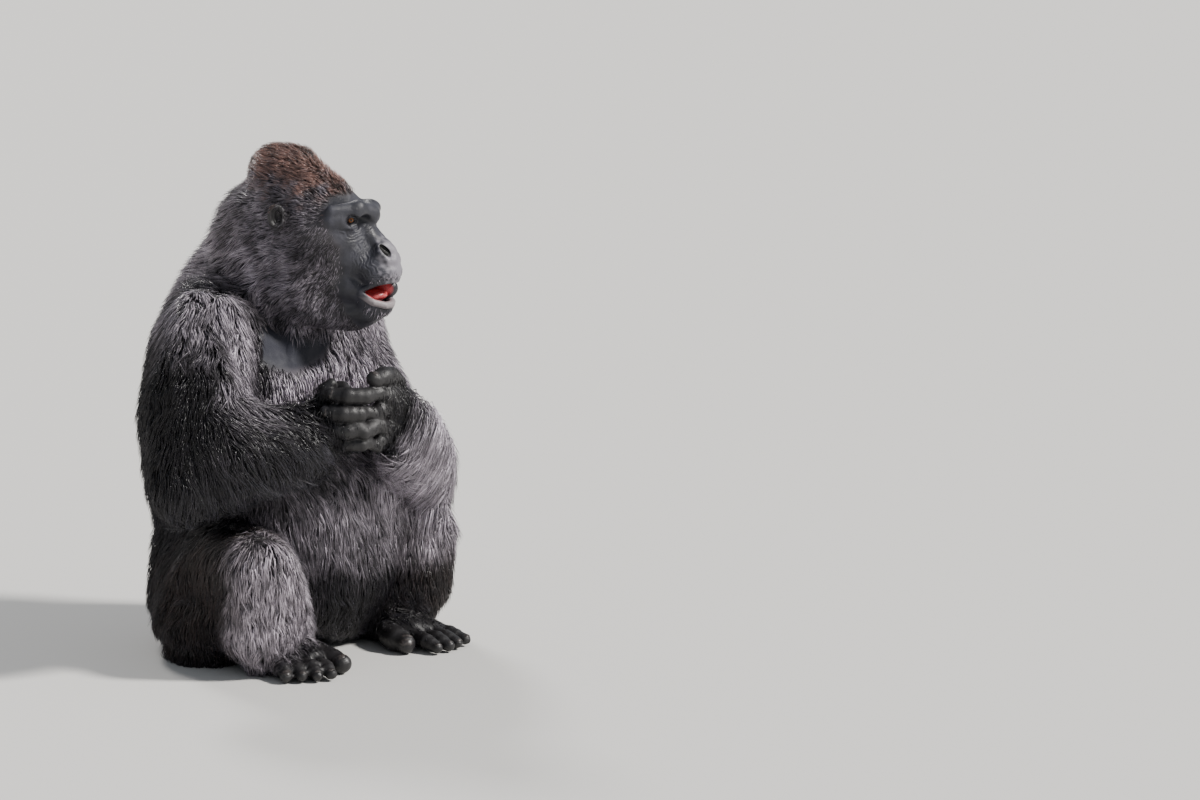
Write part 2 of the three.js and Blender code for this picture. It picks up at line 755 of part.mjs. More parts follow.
for (const [n, { name, field, step, wall, digits }] of parts.entries()) {
  const box = grown(field, 26);
  const later = parts.slice(n + 1).filter((other) => meets(grown(other.field, 30), box));
  const share = (p) => field.at(p) - Math.min(...later.map((other) => other.field.at(p)));
  for (const finer of FINER) {
    if (nodes.has(name)) break;
    const { room, wider } = later.length ? await roomFor(share, box, wall * finer) : {};
    for (const closer of [1, 0.97, 0.94]) {
      const body = await solidRound(bodyAt, box, step * finer * closer);
      if (keep(name, room ? body.intersect(room) : body, wider ?? body, box)) break;
    }
  }
  if (!nodes.has(name)) throw new Error(name + " pinches on every grid");
  if (digits) digits();
}

// ---------------------------------------------------------------- materials and scene
const finish = (color, roughness) => new THREE.MeshStandardMaterial({ color, roughness, metalness: 0 });
const fur = finish(0x2b2628, 0.8);
const crown = finish(0x4a2f26, 0.8);
const bareSkin = finish(0x26262b, 0.5);
const eyeball = finish(0x3a2014, 0.1);
const mouthLining = finish(0x9c2a2c, 0.35);

function materialOf(name) {
  if (name.startsWith("eye_")) return eyeball;
  if (name === "tongue") return mouthLining;
  if (name === "head") return crown;
  if (/muzzle|ear_|hand_|finger|thumb|foot_|toe/.test(name)) return bareSkin;
  return fur;
}

const gorilla = new THREE.Group();
for (const [name, solid] of nodes) {
  const mesh = new THREE.Mesh(geometryFrom(solid), materialOf(name));
  mesh.name = name;
  gorilla.add(mesh);
}

// The origin is on the floor, under the middle of the whole figure.
const reach = new THREE.Box3().setFromObject(gorilla);
const middle = reach.getCenter(new THREE.Vector3());
gorilla.position.set(-middle.x, -middle.y, -reach.min.z);

export default gorilla;
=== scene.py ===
import heapq
import math

import bmesh
import bpy
import numpy as np
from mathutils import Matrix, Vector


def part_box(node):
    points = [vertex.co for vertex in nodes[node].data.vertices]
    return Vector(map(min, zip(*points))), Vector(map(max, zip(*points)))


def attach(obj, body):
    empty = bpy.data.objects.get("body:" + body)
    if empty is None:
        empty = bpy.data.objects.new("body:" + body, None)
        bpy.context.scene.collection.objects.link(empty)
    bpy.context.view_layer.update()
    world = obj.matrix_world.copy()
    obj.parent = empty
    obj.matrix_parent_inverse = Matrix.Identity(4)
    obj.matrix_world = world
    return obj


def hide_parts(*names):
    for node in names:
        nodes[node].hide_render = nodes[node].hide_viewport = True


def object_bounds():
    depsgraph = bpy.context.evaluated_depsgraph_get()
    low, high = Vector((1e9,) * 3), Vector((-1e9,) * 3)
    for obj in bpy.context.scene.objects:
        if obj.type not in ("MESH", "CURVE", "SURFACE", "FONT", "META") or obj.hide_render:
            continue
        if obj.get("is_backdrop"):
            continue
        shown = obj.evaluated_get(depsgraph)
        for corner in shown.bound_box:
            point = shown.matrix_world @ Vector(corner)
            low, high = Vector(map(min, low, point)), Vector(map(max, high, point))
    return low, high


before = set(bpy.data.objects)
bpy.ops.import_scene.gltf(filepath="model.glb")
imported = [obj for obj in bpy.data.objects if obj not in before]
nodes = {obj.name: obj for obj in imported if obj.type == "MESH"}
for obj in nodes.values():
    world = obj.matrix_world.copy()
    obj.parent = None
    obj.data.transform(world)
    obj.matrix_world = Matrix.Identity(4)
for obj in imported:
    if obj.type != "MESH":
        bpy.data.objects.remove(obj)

import openvdb
from mathutils import Vector
from mathutils.bvhtree import BVHTree

# A life-size silverback gorilla, sitting with its hands clasped. Metres; it faces -Y.
cadLow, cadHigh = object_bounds()
sides = ("left", "right")
fingerNames = ("index_finger", "middle_finger", "ring_finger", "little_finger", "thumb")
toeNames = ("big_toe", "second_toe", "third_toe", "fourth_toe", "little_toe")


def middle(node):
    low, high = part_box(node)
    return np.array((low + high) / 2)


def unit(v):
    return v / np.linalg.norm(v)


# The head's own directions, from its two eyes.
eyeMiddle = (middle("eye_left") + middle("eye_right")) / 2
leftwards = unit(middle("eye_left") - middle("eye_right"))
forwards = np.cross(leftwards, (0, 0, 1))
headPlace = eyeMiddle - 0.120 * forwards + np.array((0, 0, 0.007))  # midway between the ears

viewSettings = {
    "azimuth": -50,  # degrees round from the front
    "elevation": 12,
    "distance": 19.88,
    "lens": 292.2,
    "aside": 0.5013,  # from the eyes to the middle of the frame
    "below": 0.3750,
}
lightSettings = {
    "key": {"at": (1.5, -3.1, 3.5), "soft": 8, "strength": 6.0, "colour": (1.0, 0.97, 0.93)},
    "back": {"at": (1.6, 2.8, 3.0), "soft": 12, "strength": 1.8, "colour": (1.0, 0.97, 0.94)},
    "sky": 0.40,
}


def makeCamera(settings):
    turn, tilt = math.radians(settings["azimuth"]), math.radians(settings["elevation"])
    right = Vector((math.cos(turn), math.sin(turn), 0))
    back = Vector((math.sin(turn) * math.cos(tilt), -math.cos(turn) * math.cos(tilt), math.sin(tilt)))
    up = back.cross(right)
    aim = Vector(eyeMiddle) + settings["aside"] * right - settings["below"] * up
    data = bpy.data.cameras.new("camera")
    data.lens = settings["lens"]
    data.clip_end = 200
    camera = bpy.data.objects.new("camera", data)
    camera.location = aim + settings["distance"] * back
    camera.rotation_euler = back.to_track_quat("Z", "Y").to_euler()
    bpy.context.scene.collection.objects.link(camera)
    bpy.context.scene.camera = camera


def makeLights(settings):
    target = Vector((0, 0, 0.55))
    for name in ("key", "back"):
        lamp = settings[name]
        data = bpy.data.lights.new(name, "SUN")
        data.angle = math.radians(lamp["soft"])
        data.energy = lamp["strength"]
        data.color = lamp["colour"]
        light = bpy.data.objects.new(name, data)
        light.location = lamp["at"]
        light.rotation_euler = (light.location - target).to_track_quat("Z", "Y").to_euler()
        bpy.context.scene.collection.objects.link(light)
    world = bpy.data.worlds.new("sky")
    world.use_nodes = True
    world.node_tree.nodes["Background"].inputs["Color"].default_value = (0.86, 0.92, 1.0, 1)
    world.node_tree.nodes["Background"].inputs["Strength"].default_value = settings["sky"]
    bpy.context.scene.world = world


makeCamera(viewSettings)
makeLights(lightSettings)
print("camera and lights are placed")


# A field is an array of distances, negative inside. p is (x, y, z), each an array.
def melt(a, b, soft):
    h = np.maximum(soft - np.abs(a - b), 0) / soft
    return np.minimum(a, b) - h * h * soft / 4


def carve(a, hole, soft):
    return -melt(-a, hole, soft)


def eggAt(p, centre, radii, pitch=0):
    c, s = math.cos(math.radians(pitch)), math.sin(math.radians(pitch))
    x = (p[0] - centre[0]) / radii[0]
    ahead, up = p[1] - centre[1], p[2] - centre[2]
    y = (ahead * c + up * s) / radii[1]
    z = (up * c - ahead * s) / radii[2]
    near = np.sqrt(x * x + y * y + z * z) + 1e-9
    steep = np.sqrt((x / radii[0]) ** 2 + (y / radii[1]) ** 2 + (z / radii[2]) ** 2) + 1e-9
    return near * (near - 1) / steep


def rodAt(p, a, b, ra, rb):
    a, b = np.asarray(a, float), np.asarray(b, float)
    d = b - a
    t = ((p[0] - a[0]) * d[0] + (p[1] - a[1]) * d[1] + (p[2] - a[2]) * d[2]) / (d @ d)
    t = np.clip(t, 0, 1)
    away = [p[i] - a[i] - t * d[i] for i in range(3)]
    return np.sqrt(away[0] ** 2 + away[1] ** 2 + away[2] ** 2) - (ra + (rb - ra) * t), t


def lineAt(p, points):  # distance from a bent line
    best = None
    for a, b in zip(points, points[1:]):
        d = rodAt(p, a, b, 0, 0)[0]
        best = d if best is None else np.minimum(best, d)
    return best


def smoothStep(x, low, high):
    t = np.clip((x - low) / (high - low), 0, 1)
    return t * t * (3 - 2 * t)


def blurred(field, turns=1):
    for _ in range(turns):
        for axis in range(3):
            f = np.moveaxis(field, axis, 0)
            out = f.copy()
            out[1:-1] = 0.5 * f[1:-1] + 0.25 * (f[2:] + f[:-2])
            field = np.moveaxis(out, 0, axis)
    return field


def waves(places, size, seed, count=10):  # soft noise about 0, with ripples of that size
    rng = np.random.default_rng(seed)
    total = 0
    for _ in range(count):
        way = rng.normal(size=3)
        way *= 2 * math.pi / size / np.linalg.norm(way) * rng.uniform(0.6, 1.3)
        total = total + np.sin(places @ way + rng.uniform(0, 6.28))
    return total / math.sqrt(count / 2)


def triangles(node):
    mesh = nodes[node].data
    mesh.calc_loop_triangles()
    points = np.empty(len(mesh.vertices) * 3, np.float32)
    mesh.vertices.foreach_get("co", points)
    faces = np.empty(len(mesh.loop_triangles) * 3, np.int32)
    mesh.loop_triangles.foreach_get("vertices", faces)
    return points.reshape(-1, 3), faces.reshape(-1, 3)


def gathered(names):
    points, faces, start = [], [], 0
    for name in names:
        p, f = triangles(name)
        points.append(p)
        faces.append(f + start)
        start += len(p)
    return np.concatenate(points), np.concatenate(faces)


digits = [f"{n}_{s}" for s in sides for n in fingerNames + toeNames]
flesh = [n for n in nodes if not n.startswith("eye_") and n != "tongue"]
trunkAndLimbs = [n for n in flesh if n not in digits]

# The solids' own outline as a field. The cuts between them close when it is drawn a little wide.
outline = {"cell": 0.004, "wide": 0.002, "reach": 0.052, "blur": 1}


def outlineField(settings):
    cell = settings["cell"]
    grid = openvdb.createLinearTransform(cell)
    points, faces = gathered(trunkAndLimbs)
    first = openvdb.FloatGrid.createLevelSetFromPolygons(
        points, triangles=faces.astype(np.uint32), transform=grid, halfWidth=3.0)
    points, quads = first.convertToQuads(settings["wide"])
    second = openvdb.FloatGrid.createLevelSetFromPolygons(
        points, quads=quads, transform=grid, halfWidth=settings["reach"] / cell)
    low, high = second.evalActiveVoxelBoundingBox()
    field = np.zeros([h - l + 1 for l, h in zip(low, high)], np.float32)
    second.copyToArray(field, ijk=low)
    field += settings["wide"]
    return blurred(field, settings["blur"]), np.array(low) * cell


outlineValues, outlineCorner = outlineField(outline)
print("the outline's field has", outlineValues.size, "cells")


def onLines(values, corner, cell, lines):  # a field on even cells, carried to uneven grid lines
    for axis in range(3):
        at = np.clip((lines[axis] - corner[axis]) / cell, 0, values.shape[axis] - 1.001)
        k = at.astype(int)
        t = (at - k).astype(np.float32)
        v = np.moveaxis(values, axis, 0)
        t = t.reshape(-1, 1, 1)
        values = np.moveaxis(v[k] * (1 - t) + v[k + 1] * t, 0, axis)
    return values


def gridLines(low, high, coarse, fineRanges):
    lines, at = [], low
    while at < high:
        lines.append(at)
        step = coarse
        for start, end, fine in fineRanges:
            if start <= at < end:
                step = min(step, fine)
            elif at < start < at + coarse:
                step = min(step, max(start - at, fine))
        at += step
    return np.array(lines)


# How deep the coat is over each part, how long and wide its tufts are, how far they stand, and
# how close together they grow, next to the other parts. "hang" lets the hair drop, "out" turns
# it away from the body's middle and "along" is the way it runs.
regionColumns = ("depth", "long", "wide", "stand", "tufts", "hang", "out", "along")
regionRows = {
    "muzzle": (0.0006, 0.006, 0.0012, 0.2, 1.0, 0.0, 0, (0, 0.5, -1)),
    "lower_jaw": (0.0035, 0.016, 0.0014, 0.5, 14, 0.0, 0, (0, 0.6, -1)),
    "ear": (0.0004, 0.006, 0.0012, 0.3, 0.0, 0.0, 0, (0, 0.6, -1)),
    "head": (0.01, 0.022, 0.0015, 1.25, 24, 0.0, 0, (0, 1, -0.3)),
    "neck": (0.02, 0.044, 0.0022, 1.45, 13, 0.1, 0, (0, 0.7, -1)),
    "chest": (0.016, 0.042, 0.0026, 1.1, 8, 0.15, 0, (0, 0.15, -1)),
    "belly": (0.022, 0.06, 0.003, 1.15, 8, 0.35, 0, (0, -0.1, -1)),
    "rump": (0.018, 0.05, 0.0032, 1.1, 6, 0.2, 0, (0, 0.4, -1)),
    "upper_arm": (0.02, 0.058, 0.0028, 1.1, 9, 0.3, 0.35, (0, -0.25, -1)),
    "forearm": (0.026, 0.098, 0.0028, 1.25, 10, 0.5, -0.75, (0, 0, -1)),
    "thigh": (0.022, 0.06, 0.003, 1.1, 8, 0.3, 0, (0, 0, -1)),
    "lower_leg": (0.016, 0.045, 0.0026, 1.1, 10, 0.25, 0, (0, 0, -1)),
    "hand": (0.0012, 0.026, 0.0016, 0.9, 8, 0.0, 0, (0, 0, -1)),
    "digit": (0.0002, 0.01, 0.0014, 0.3, 0.0, 0.0, 0, (0, 0, -1)),
    "foot": (0.0012, 0.014, 0.0018, 0.3, 3, 0.0, 0, (0, -1, -0.2)),
}
regions = {name: dict(zip(regionColumns, row)) for name, row in regionRows.items()}
regionNames = list(regions)
regionCell = 0.012
shareSpacing, shareBlur = 0.005, 4  # of the places that tell where each region is
regionCorner = np.array(cadLow) - 6 * regionCell
regionShape = np.ceil((np.array(cadHigh) - np.array(cadLow)) / regionCell).astype(int) + 13


def regionOf(node):
    for name in ("upper_arm", "forearm", "lower_leg", "lower_jaw", "foot", "hand", "thigh"):
        if node.startswith(name):
            return name
    if node.startswith("ear_"):
        return "ear"
    return "digit" if "toe" in node or "finger" in node or "thumb" in node else node


def triangleCorners(points, faces):
    return [points[faces[:, i]].astype(float) for i in range(3)]


def areas(a, b, c):
    return np.linalg.norm(np.cross(b - a, c - a), axis=1) / 2


def scattered(a, b, c, weight, count, rng):  # random places on triangles, as many as their weight
    total = np.cumsum(weight)
    pick = np.searchsorted(total, (np.arange(count) + rng.random(count)) / count * total[-1])
    pick = np.minimum(pick, len(weight) - 1)
    u, v = rng.random((2, count))
    flip = u + v > 1
    u, v = np.where(flip, 1 - u, u)[:, None], np.where(flip, 1 - v, v)[:, None]
    return a[pick] + u * (b - a)[pick] + v * (c - a)[pick]


def regionShares():
    rng = np.random.default_rng(3)
    shares = np.zeros((len(regionNames), *regionShape), np.float32)
    for node in flesh:
        a, b, c = triangleCorners(*triangles(node))
        area = areas(a, b, c)
        count = int(np.cumsum(area)[-1] / shareSpacing ** 2) + 1
        places = scattered(a, b, c, area, count, rng)
        cells = np.round((places - regionCorner) / regionCell).astype(int)
        np.add.at(shares[regionNames.index(regionOf(node))], tuple(cells.T), 1.0)
    for n in range(len(shares)):
        shares[n] = blurred(shares[n], shareBlur)
    return shares / (shares.sum(0) + 1e-7)


shares = regionShares()


def spread(key):  # one number of each region, blended over the body
    return np.tensordot([regions[n][key] for n in regionNames], shares, 1).astype(np.float32)


def onRegions(values, places):  # a field on the regions' cells, at any places
    at = (places - regionCorner) / regionCell
    k = np.clip(at.astype(int), 0, np.array(values.shape[:3]) - 2)
    t = np.clip(at - k, 0, 1)
    total = 0
    for n in range(8):
        o = np.array((n & 1, (n >> 1) & 1, n >> 2))
        w = np.prod(np.where(o, t, 1 - t), axis=1)
        total = total + w * values[tuple((k + o).T)]
    return total


def shareOf(name, places):
    return onRegions(shares[regionNames.index(name)], places)


def mixAt(places):  # every region's share
    return np.stack([onRegions(s, places) for s in shares], 1)


skinGrid = {
    "coarse": 0.009,
    "face": 0.0026,
    "faceHalf": 0.062,  # how far the finer lines reach to the sides, ahead and back
    "faceHeight": (-0.19, 0.02),
    "x": [(-0.13, 0.235, 0.0038)],
    "y": [(-0.33, 0.02, 0.0038)],
    "z": [(0.0, 0.07, 0.0048), (0.42, 0.64, 0.0038), (0.64, 1.07, 0.0038)],
}
faceMiddle = headPlace + 0.160 * forwards
for i, axis in enumerate("xyz"):  # finer lines through the face
    low, high, cell = skinGrid[axis][-1]
    below, above = skinGrid["faceHeight"] if axis == "z" else (-skinGrid["faceHalf"], skinGrid["faceHalf"])
    start, end = faceMiddle[i] + below, faceMiddle[i] + above
    skinGrid[axis][-1:] = [(low, start, cell), (start, end, skinGrid["face"]), (end, high, cell)]
lines = [gridLines(cadLow[i] - 0.02, cadHigh[i] + 0.02, skinGrid["coarse"], skinGrid["xyz"[i]])
         for i in range(3)]
skin = onLines(outlineValues, outlineCorner, outline["cell"], lines)
resting = smoothStep(lines[2], 0.004, 0.04)  # the coat is pressed flat where it rests on the floor
skin += onLines(spread("depth"), regionCorner, regionCell, lines) * resting[None, None, :]
print("the skin's grid is", skin.shape)


def blockRound(low, high):
    cut = []
    for i in range(3):
        start, end = np.searchsorted(lines[i], (low[i], high[i]))
        cut.append(slice(max(start - 1, 0), end + 1))
    x, y, z = (lines[i][cut[i]] for i in range(3))
    return tuple(cut), (x[:, None, None], y[None, :, None], z[None, None, :])


# A digit's own middle line and girth, found by walking out over its solid from its root.
def digitLine(node, owner):
    points, faces = triangles(node)
    ownerPoints, ownerFaces = triangles(owner)
    surface = BVHTree.FromPolygons(ownerPoints.tolist(), ownerFaces.tolist())
    links = {}
    key = [tuple(np.round(p, 5)) for p in points]
    first = {}
    same = [first.setdefault(k, i) for i, k in enumerate(key)]
    for face in faces:
        for a, b in ((0, 1), (1, 2), (2, 0)):
            i, j = same[face[a]], same[face[b]]
            links.setdefault(i, set()).add(j)
            links.setdefault(j, set()).add(i)
    away = {i: surface.find_nearest(Vector(points[i]))[3] for i in links}
    queue = [(0.0, i) for i in links if away[i] < 0.003] or [(0.0, min(away, key=away.get))]
    heapq.heapify(queue)
    walked = {}
    while queue:
        far, i = heapq.heappop(queue)
        if i in walked:
            continue
        walked[i] = far
        for j in links[i]:
            if j not in walked:
                heapq.heappush(queue, (far + float(np.linalg.norm(points[i] - points[j])), j))
    index = np.array(list(walked))
    far = np.array([walked[i] for i in index])
    steps = max(3, round(far.max() / 0.016))
    line = []
    for n in range(steps + 1):
        near = np.abs(far - far.max() * n / steps) < 0.72 * far.max() / steps
        if near.sum() >= 3:
            ring = points[index[near]].astype(float)
            line.append((ring.mean(0), np.linalg.norm(ring - ring.mean(0), axis=1).mean()))
    centres = np.array([c for c, _ in line])
    girth = np.array([r for _, r in line])
    return centres, girth


digitLook = {"slim": 0.90, "knuckle": 0.0016, "crease": 0.0007}


def digitField(p, centres, radius, look):
    best, place = None, None
    lengths = np.linalg.norm(np.diff(centres, axis=0), axis=1)
    total = lengths.sum()
    start = 0.0
    for n in range(len(lengths)):
        d, t = rodAt(p, centres[n], centres[n + 1], radius[n], radius[n + 1])
        s = start + t * lengths[n]
        if best is None:
            best, place = d, s
        else:
            place = np.where(d < best, s, place)
            best = melt(best, d, 0.004)
        start += lengths[n]
    for joint in look["joints"]:
        near = np.exp(-((place - joint * total) / 0.009) ** 2)
        best = best - look["knuckle"] * near
        best = best + look["crease"] * near * np.cos(place * 2 * math.pi / 0.0052)
    return best


digitLines = {}
for side in sides:
    for names, owner, joints in ((fingerNames, "hand", (0.36, 0.68)), (toeNames, "foot", (0.5,))):
        low, high = np.full(3, 9.0), np.full(3, -9.0)
        members = {}
        for name in names:
            node = f"{name}_{side}"
            centres, girth = digitLine(node, f"{owner}_{side}")
            radius = np.minimum(girth, np.median(girth) * 1.06) * digitLook["slim"]
            radius = np.maximum(radius, np.median(radius) * 0.8)
            root = centres[0] - 0.5 * (centres[1] - centres[0])  # it starts inside the palm or sole
            tip = centres[-1] - unit(centres[-1] - centres[-2]) * 0.25 * radius[-1]
            centres = np.vstack([root, centres[:-1], tip])
            radius = np.append(radius[:1], radius)
            members[node] = (centres, radius)
            low = np.minimum(low, centres.min(0) - 0.03)
            high = np.maximum(high, centres.max(0) + 0.03)
        cut, p = blockRound(low, high)
        grown = None
        for node, (centres, radius) in members.items():
            field = digitField(p, centres, radius, {**digitLook, "joints": joints})
            grown = field if grown is None else np.minimum(grown, field)
            digitLines[node] = (centres, radius)
        skin[cut] = melt(skin[cut], grown, 0.006)
print("fingers and toes are grown")


# Places on the head: (towards its left, forwards, up), from midway between the ears. Each is
# given for the left half and mirrored.
face = {
    "brow": ((0, 0.157, 0.003), (0.040, 0.143, 0.0195), (0.078, 0.100, 0.0175)),
    "browGirth": (0.0175, 0.0140, 0.0110),
    "droop": 0.36,  # of the left brow, below the right one
    "socket": ((0.039, 0.150, -0.0075), (0.019, 0.0255, 0.0125), -6),
    "temple": ((0.042, 0.137, -0.0075), (0.088, 0.142, -0.001), 0.0105, 0.0135),
    "inner": ((0.013, 0.136, -0.019), (0.013, 0.168, -0.051), 0.0115, 0.0100),
    "bridge": ((0, 0.146, -0.032), (0, 0.186, -0.070), 0.0125, 0.0135),
    "noseTip": ((0, 0.198, -0.076), (0, 0.2025, -0.093), 0.0125, 0.0135),
    "muzzle": ((0, 0.172, -0.113), (0.047, 0.048, 0.027)),
    "wing": ((0.008, 0.186, -0.062), (0.022, 0.181, -0.062), (0.031, 0.188, -0.075),
             (0.026, 0.202, -0.089), (0.010, 0.2085, -0.091)),
    "nostrilAt": (0.1965, -0.0695),
    "nostrilTilt": (0.73, 0.68),  # cosine and sine
    "nostril": ((0.0225, 0, 0), (0.0105, 0.0165, 0.0046)),
    "cavity": ((0, 0.186, -0.1560), (0.0475, 0.049, 0.0190)),  # of the mouth
    "closed": ((0.025, 0.1745, -0.1560), (0.017, 0.0300, 0.0225)),
    "cheek": ((0.023, 0.116, -0.152), (0.032, 0.037, 0.034)),  # fills the mouth behind its corners
    "upperLip": ((0.044, 0.151, -0.1505), (0.036, 0.184, -0.1355), (0.019, 0.206, -0.1325),
                 (0, 0.2125, -0.1335)),
    "lowerLip": ((0.044, 0.150, -0.1580), (0.036, 0.176, -0.1760), (0.020, 0.194, -0.1835),
                 (0, 0.2000, -0.1845)),
    "corner": ((0.044, 0.158, -0.154), (0.053, 0.138, -0.157)),
    "meeting": ((0.010, 0.2095, -0.156), (0.034, 0.194, -0.156), (0.050, 0.162, -0.158)),
    "eye": (0.034, 0.120, -0.007),
    "lid": 0.0158,  # radius of the lids over the eyeball
    "outwards": 42,  # degrees that the lids open towards the side
    "slit": ((0, 0.0205, 0.0), (0.0152, 0.0092, 0.0076)),
    "upperLid": ((-0.0130, 0.0095, 0.0008), (-0.0066, 0.0136, 0.0056), (0.001, 0.0146, 0.0068),
                 (0.0082, 0.0126, 0.0054), (0.0130, 0.0092, 0.0006)),
    "lowerLid": ((-0.0130, 0.0095, 0.0), (-0.0052, 0.0141, -0.0060), (0.002, 0.0145, -0.0066),
                 (0.0088, 0.0120, -0.0048), (0.0130, 0.0092, 0.0)),
    "bags": ((-0.010, 0.0120, -0.0100), (0, 0.0150, -0.0125), (0.012, 0.0100, -0.0110)),
    "ear": (0.106, -0.008, 0.004),
    "fold": 0.0080,  # from one fold of the skin to the next
}


def headPoints(p):
    x, y, z = p[0] - headPlace[0], p[1] - headPlace[1], p[2] - headPlace[2]
    return (x * leftwards[0] + y * leftwards[1], x * forwards[0] + y * forwards[1], z)


def mirrored(p):
    return (np.abs(p[0]), p[1], p[2])


def nostrilPoints(half):  # aside, along and across the nostril, which opens down and forwards
    (f, z), (c, s) = face["nostrilAt"], face["nostrilTilt"]
    return (half[0], (half[1] - f) * c - (half[2] - z) * s, (half[1] - f) * s + (half[2] - z) * c)


def lipsAt(half):
    return np.minimum(lineAt(half, face["upperLip"]), lineAt(half, face["lowerLip"]))


def lidPoints(half):  # across, out of and up from an eyeball's middle
    turn = math.radians(face["outwards"])
    l, f, z = (half[i] - face["eye"][i] for i in range(3))
    return (l * math.cos(turn) - f * math.sin(turn), l * math.sin(turn) + f * math.cos(turn), z)


def earRim():  # a bent ring, open at the front
    l, f, z = face["ear"]
    turns = np.radians(np.linspace(-150, 150, 11))
    return [(l + 0.002 + 0.005 * math.cos(t), f - 0.0135 * math.cos(t), z + 0.0215 * math.sin(t))
            for t in turns]


def faceField(base, p):
    half = mirrored(p)
    browed = (half[0], p[1], p[2] + face["droop"] * np.maximum(p[0], 0))
    brow, girth = face["brow"], face["browGirth"]
    ridge = melt(*(rodAt(browed, brow[i], brow[i + 1], girth[i], girth[i + 1])[0] for i in (0, 1)), 0.01)
    field = melt(base, ridge, 0.012)
    field = carve(field, eggAt(browed, *face["socket"]), 0.006)
    field = carve(field, rodAt(browed, *face["temple"])[0], 0.008)
    field = melt(field, rodAt(half, *face["bridge"])[0], 0.014)
    field = melt(field, rodAt(half, *face["inner"])[0], 0.012)
    field = melt(field, rodAt(half, *face["noseTip"])[0], 0.008)
    field = melt(field, eggAt(half, *face["muzzle"]), 0.014)
    field = melt(field, lineAt(half, face["wing"]) - 0.0068, 0.009)
    field = carve(field, eggAt(nostrilPoints(half), *face["nostril"]), 0.0025)

    # Folds round the nose and mouth, then under the eyes.
    nose = np.sqrt((half[0] * 0.5) ** 2 + (p[1] - 0.207) ** 2 + (p[2] + 0.080) ** 2)
    wobble = 0.004 * np.sin(half[0] * 160 + p[2] * 90) + 0.003 * np.sin(p[2] * 230 - p[1] * 140)
    wobble = wobble + 0.0015 * np.sin(p[1] * 410 + p[2] * 330)
    mask = smoothStep(nose, 0.030, 0.038) * (1 - smoothStep(nose, 0.066, 0.085))
    mask = mask * smoothStep(half[0], 0.020, 0.034)
    field = field + 0.00055 * mask * np.cos((nose + wobble) * 2 * math.pi / face["fold"])
    under = np.sqrt((half[0] - 0.030) ** 2 + (p[1] - 0.120) ** 2 + (p[2] - 0.012) ** 2)
    mask = smoothStep(under, 0.034, 0.042) * (1 - smoothStep(under, 0.058, 0.075))
    mask = mask * smoothStep(-p[2], 0.014, 0.026) * smoothStep(half[0], 0.008, 0.020)
    field = field + 0.0006 * mask * np.cos((under + 0.7 * wobble) * 2 * math.pi / face["fold"])

    # The mouth, with its lips.
    field = melt(field, eggAt(half, *face["cheek"]), 0.010)
    field = carve(field, eggAt(half, *face["cavity"]), 0.004)
    field = melt(field, lineAt(half, face["upperLip"]) - 0.0050, 0.005)
    field = melt(field, lineAt(half, face["lowerLip"]) - 0.0072, 0.006)
    field = carve(field, lineAt(half, face["corner"]) - 0.0003, 0.0035)
    field = melt(field, eggAt(p, *face["closed"]), 0.005)  # the lips meet on the left
    field = carve(field, lineAt(p, face["meeting"]) - 0.0003, 0.003)

    # The lids: a ball over the eye, slit open, with rims, a crease and bags.
    e = lidPoints(half)
    field = melt(field, np.sqrt(e[0] ** 2 + e[1] ** 2 + e[2] ** 2) - face["lid"], 0.009)
    field = carve(field, eggAt(e, *face["slit"]), 0.0010)
    field = melt(field, lineAt(e, face["upperLid"]) - 0.0019, 0.0015)
    field = melt(field, lineAt(e, face["lowerLid"]) - 0.0016, 0.0015)
    crease = [(x, y + 0.002, 0.0044 + 1.1 * z) for x, y, z in face["upperLid"]]
    field = carve(field, lineAt(e, crease) - 0.0003, 0.0030)
    for drop in (0.0, 0.0052):
        bag = [(1.1 * x, y + 0.1 * drop, z - drop) for x, y, z in face["bags"]]
        field = melt(field, lineAt(e, bag) - 0.0023, 0.0035)

    l, f, z = face["ear"]
    field = melt(field, eggAt(half, (l - 0.003, f, z), (0.007, 0.0145, 0.0225)), 0.004)
    field = melt(field, lineAt(half, earRim()) - 0.0040, 0.003)
    field = carve(field, eggAt(half, (l + 0.006, f + 0.004, z - 0.001), (0.0115, 0.0085, 0.0150)), 0.002)
    return field


plainSkin = skin.copy()  # before the face is worked
headLow, headHigh = headPlace + np.array((-0.16, -0.26, -0.30)), headPlace + np.array((0.20, 0.20, 0.18))
headCut, headGrid = blockRound(headLow, headHigh)
skin[headCut] = faceField(skin[headCut], headPoints(headGrid))
print("the face is worked")


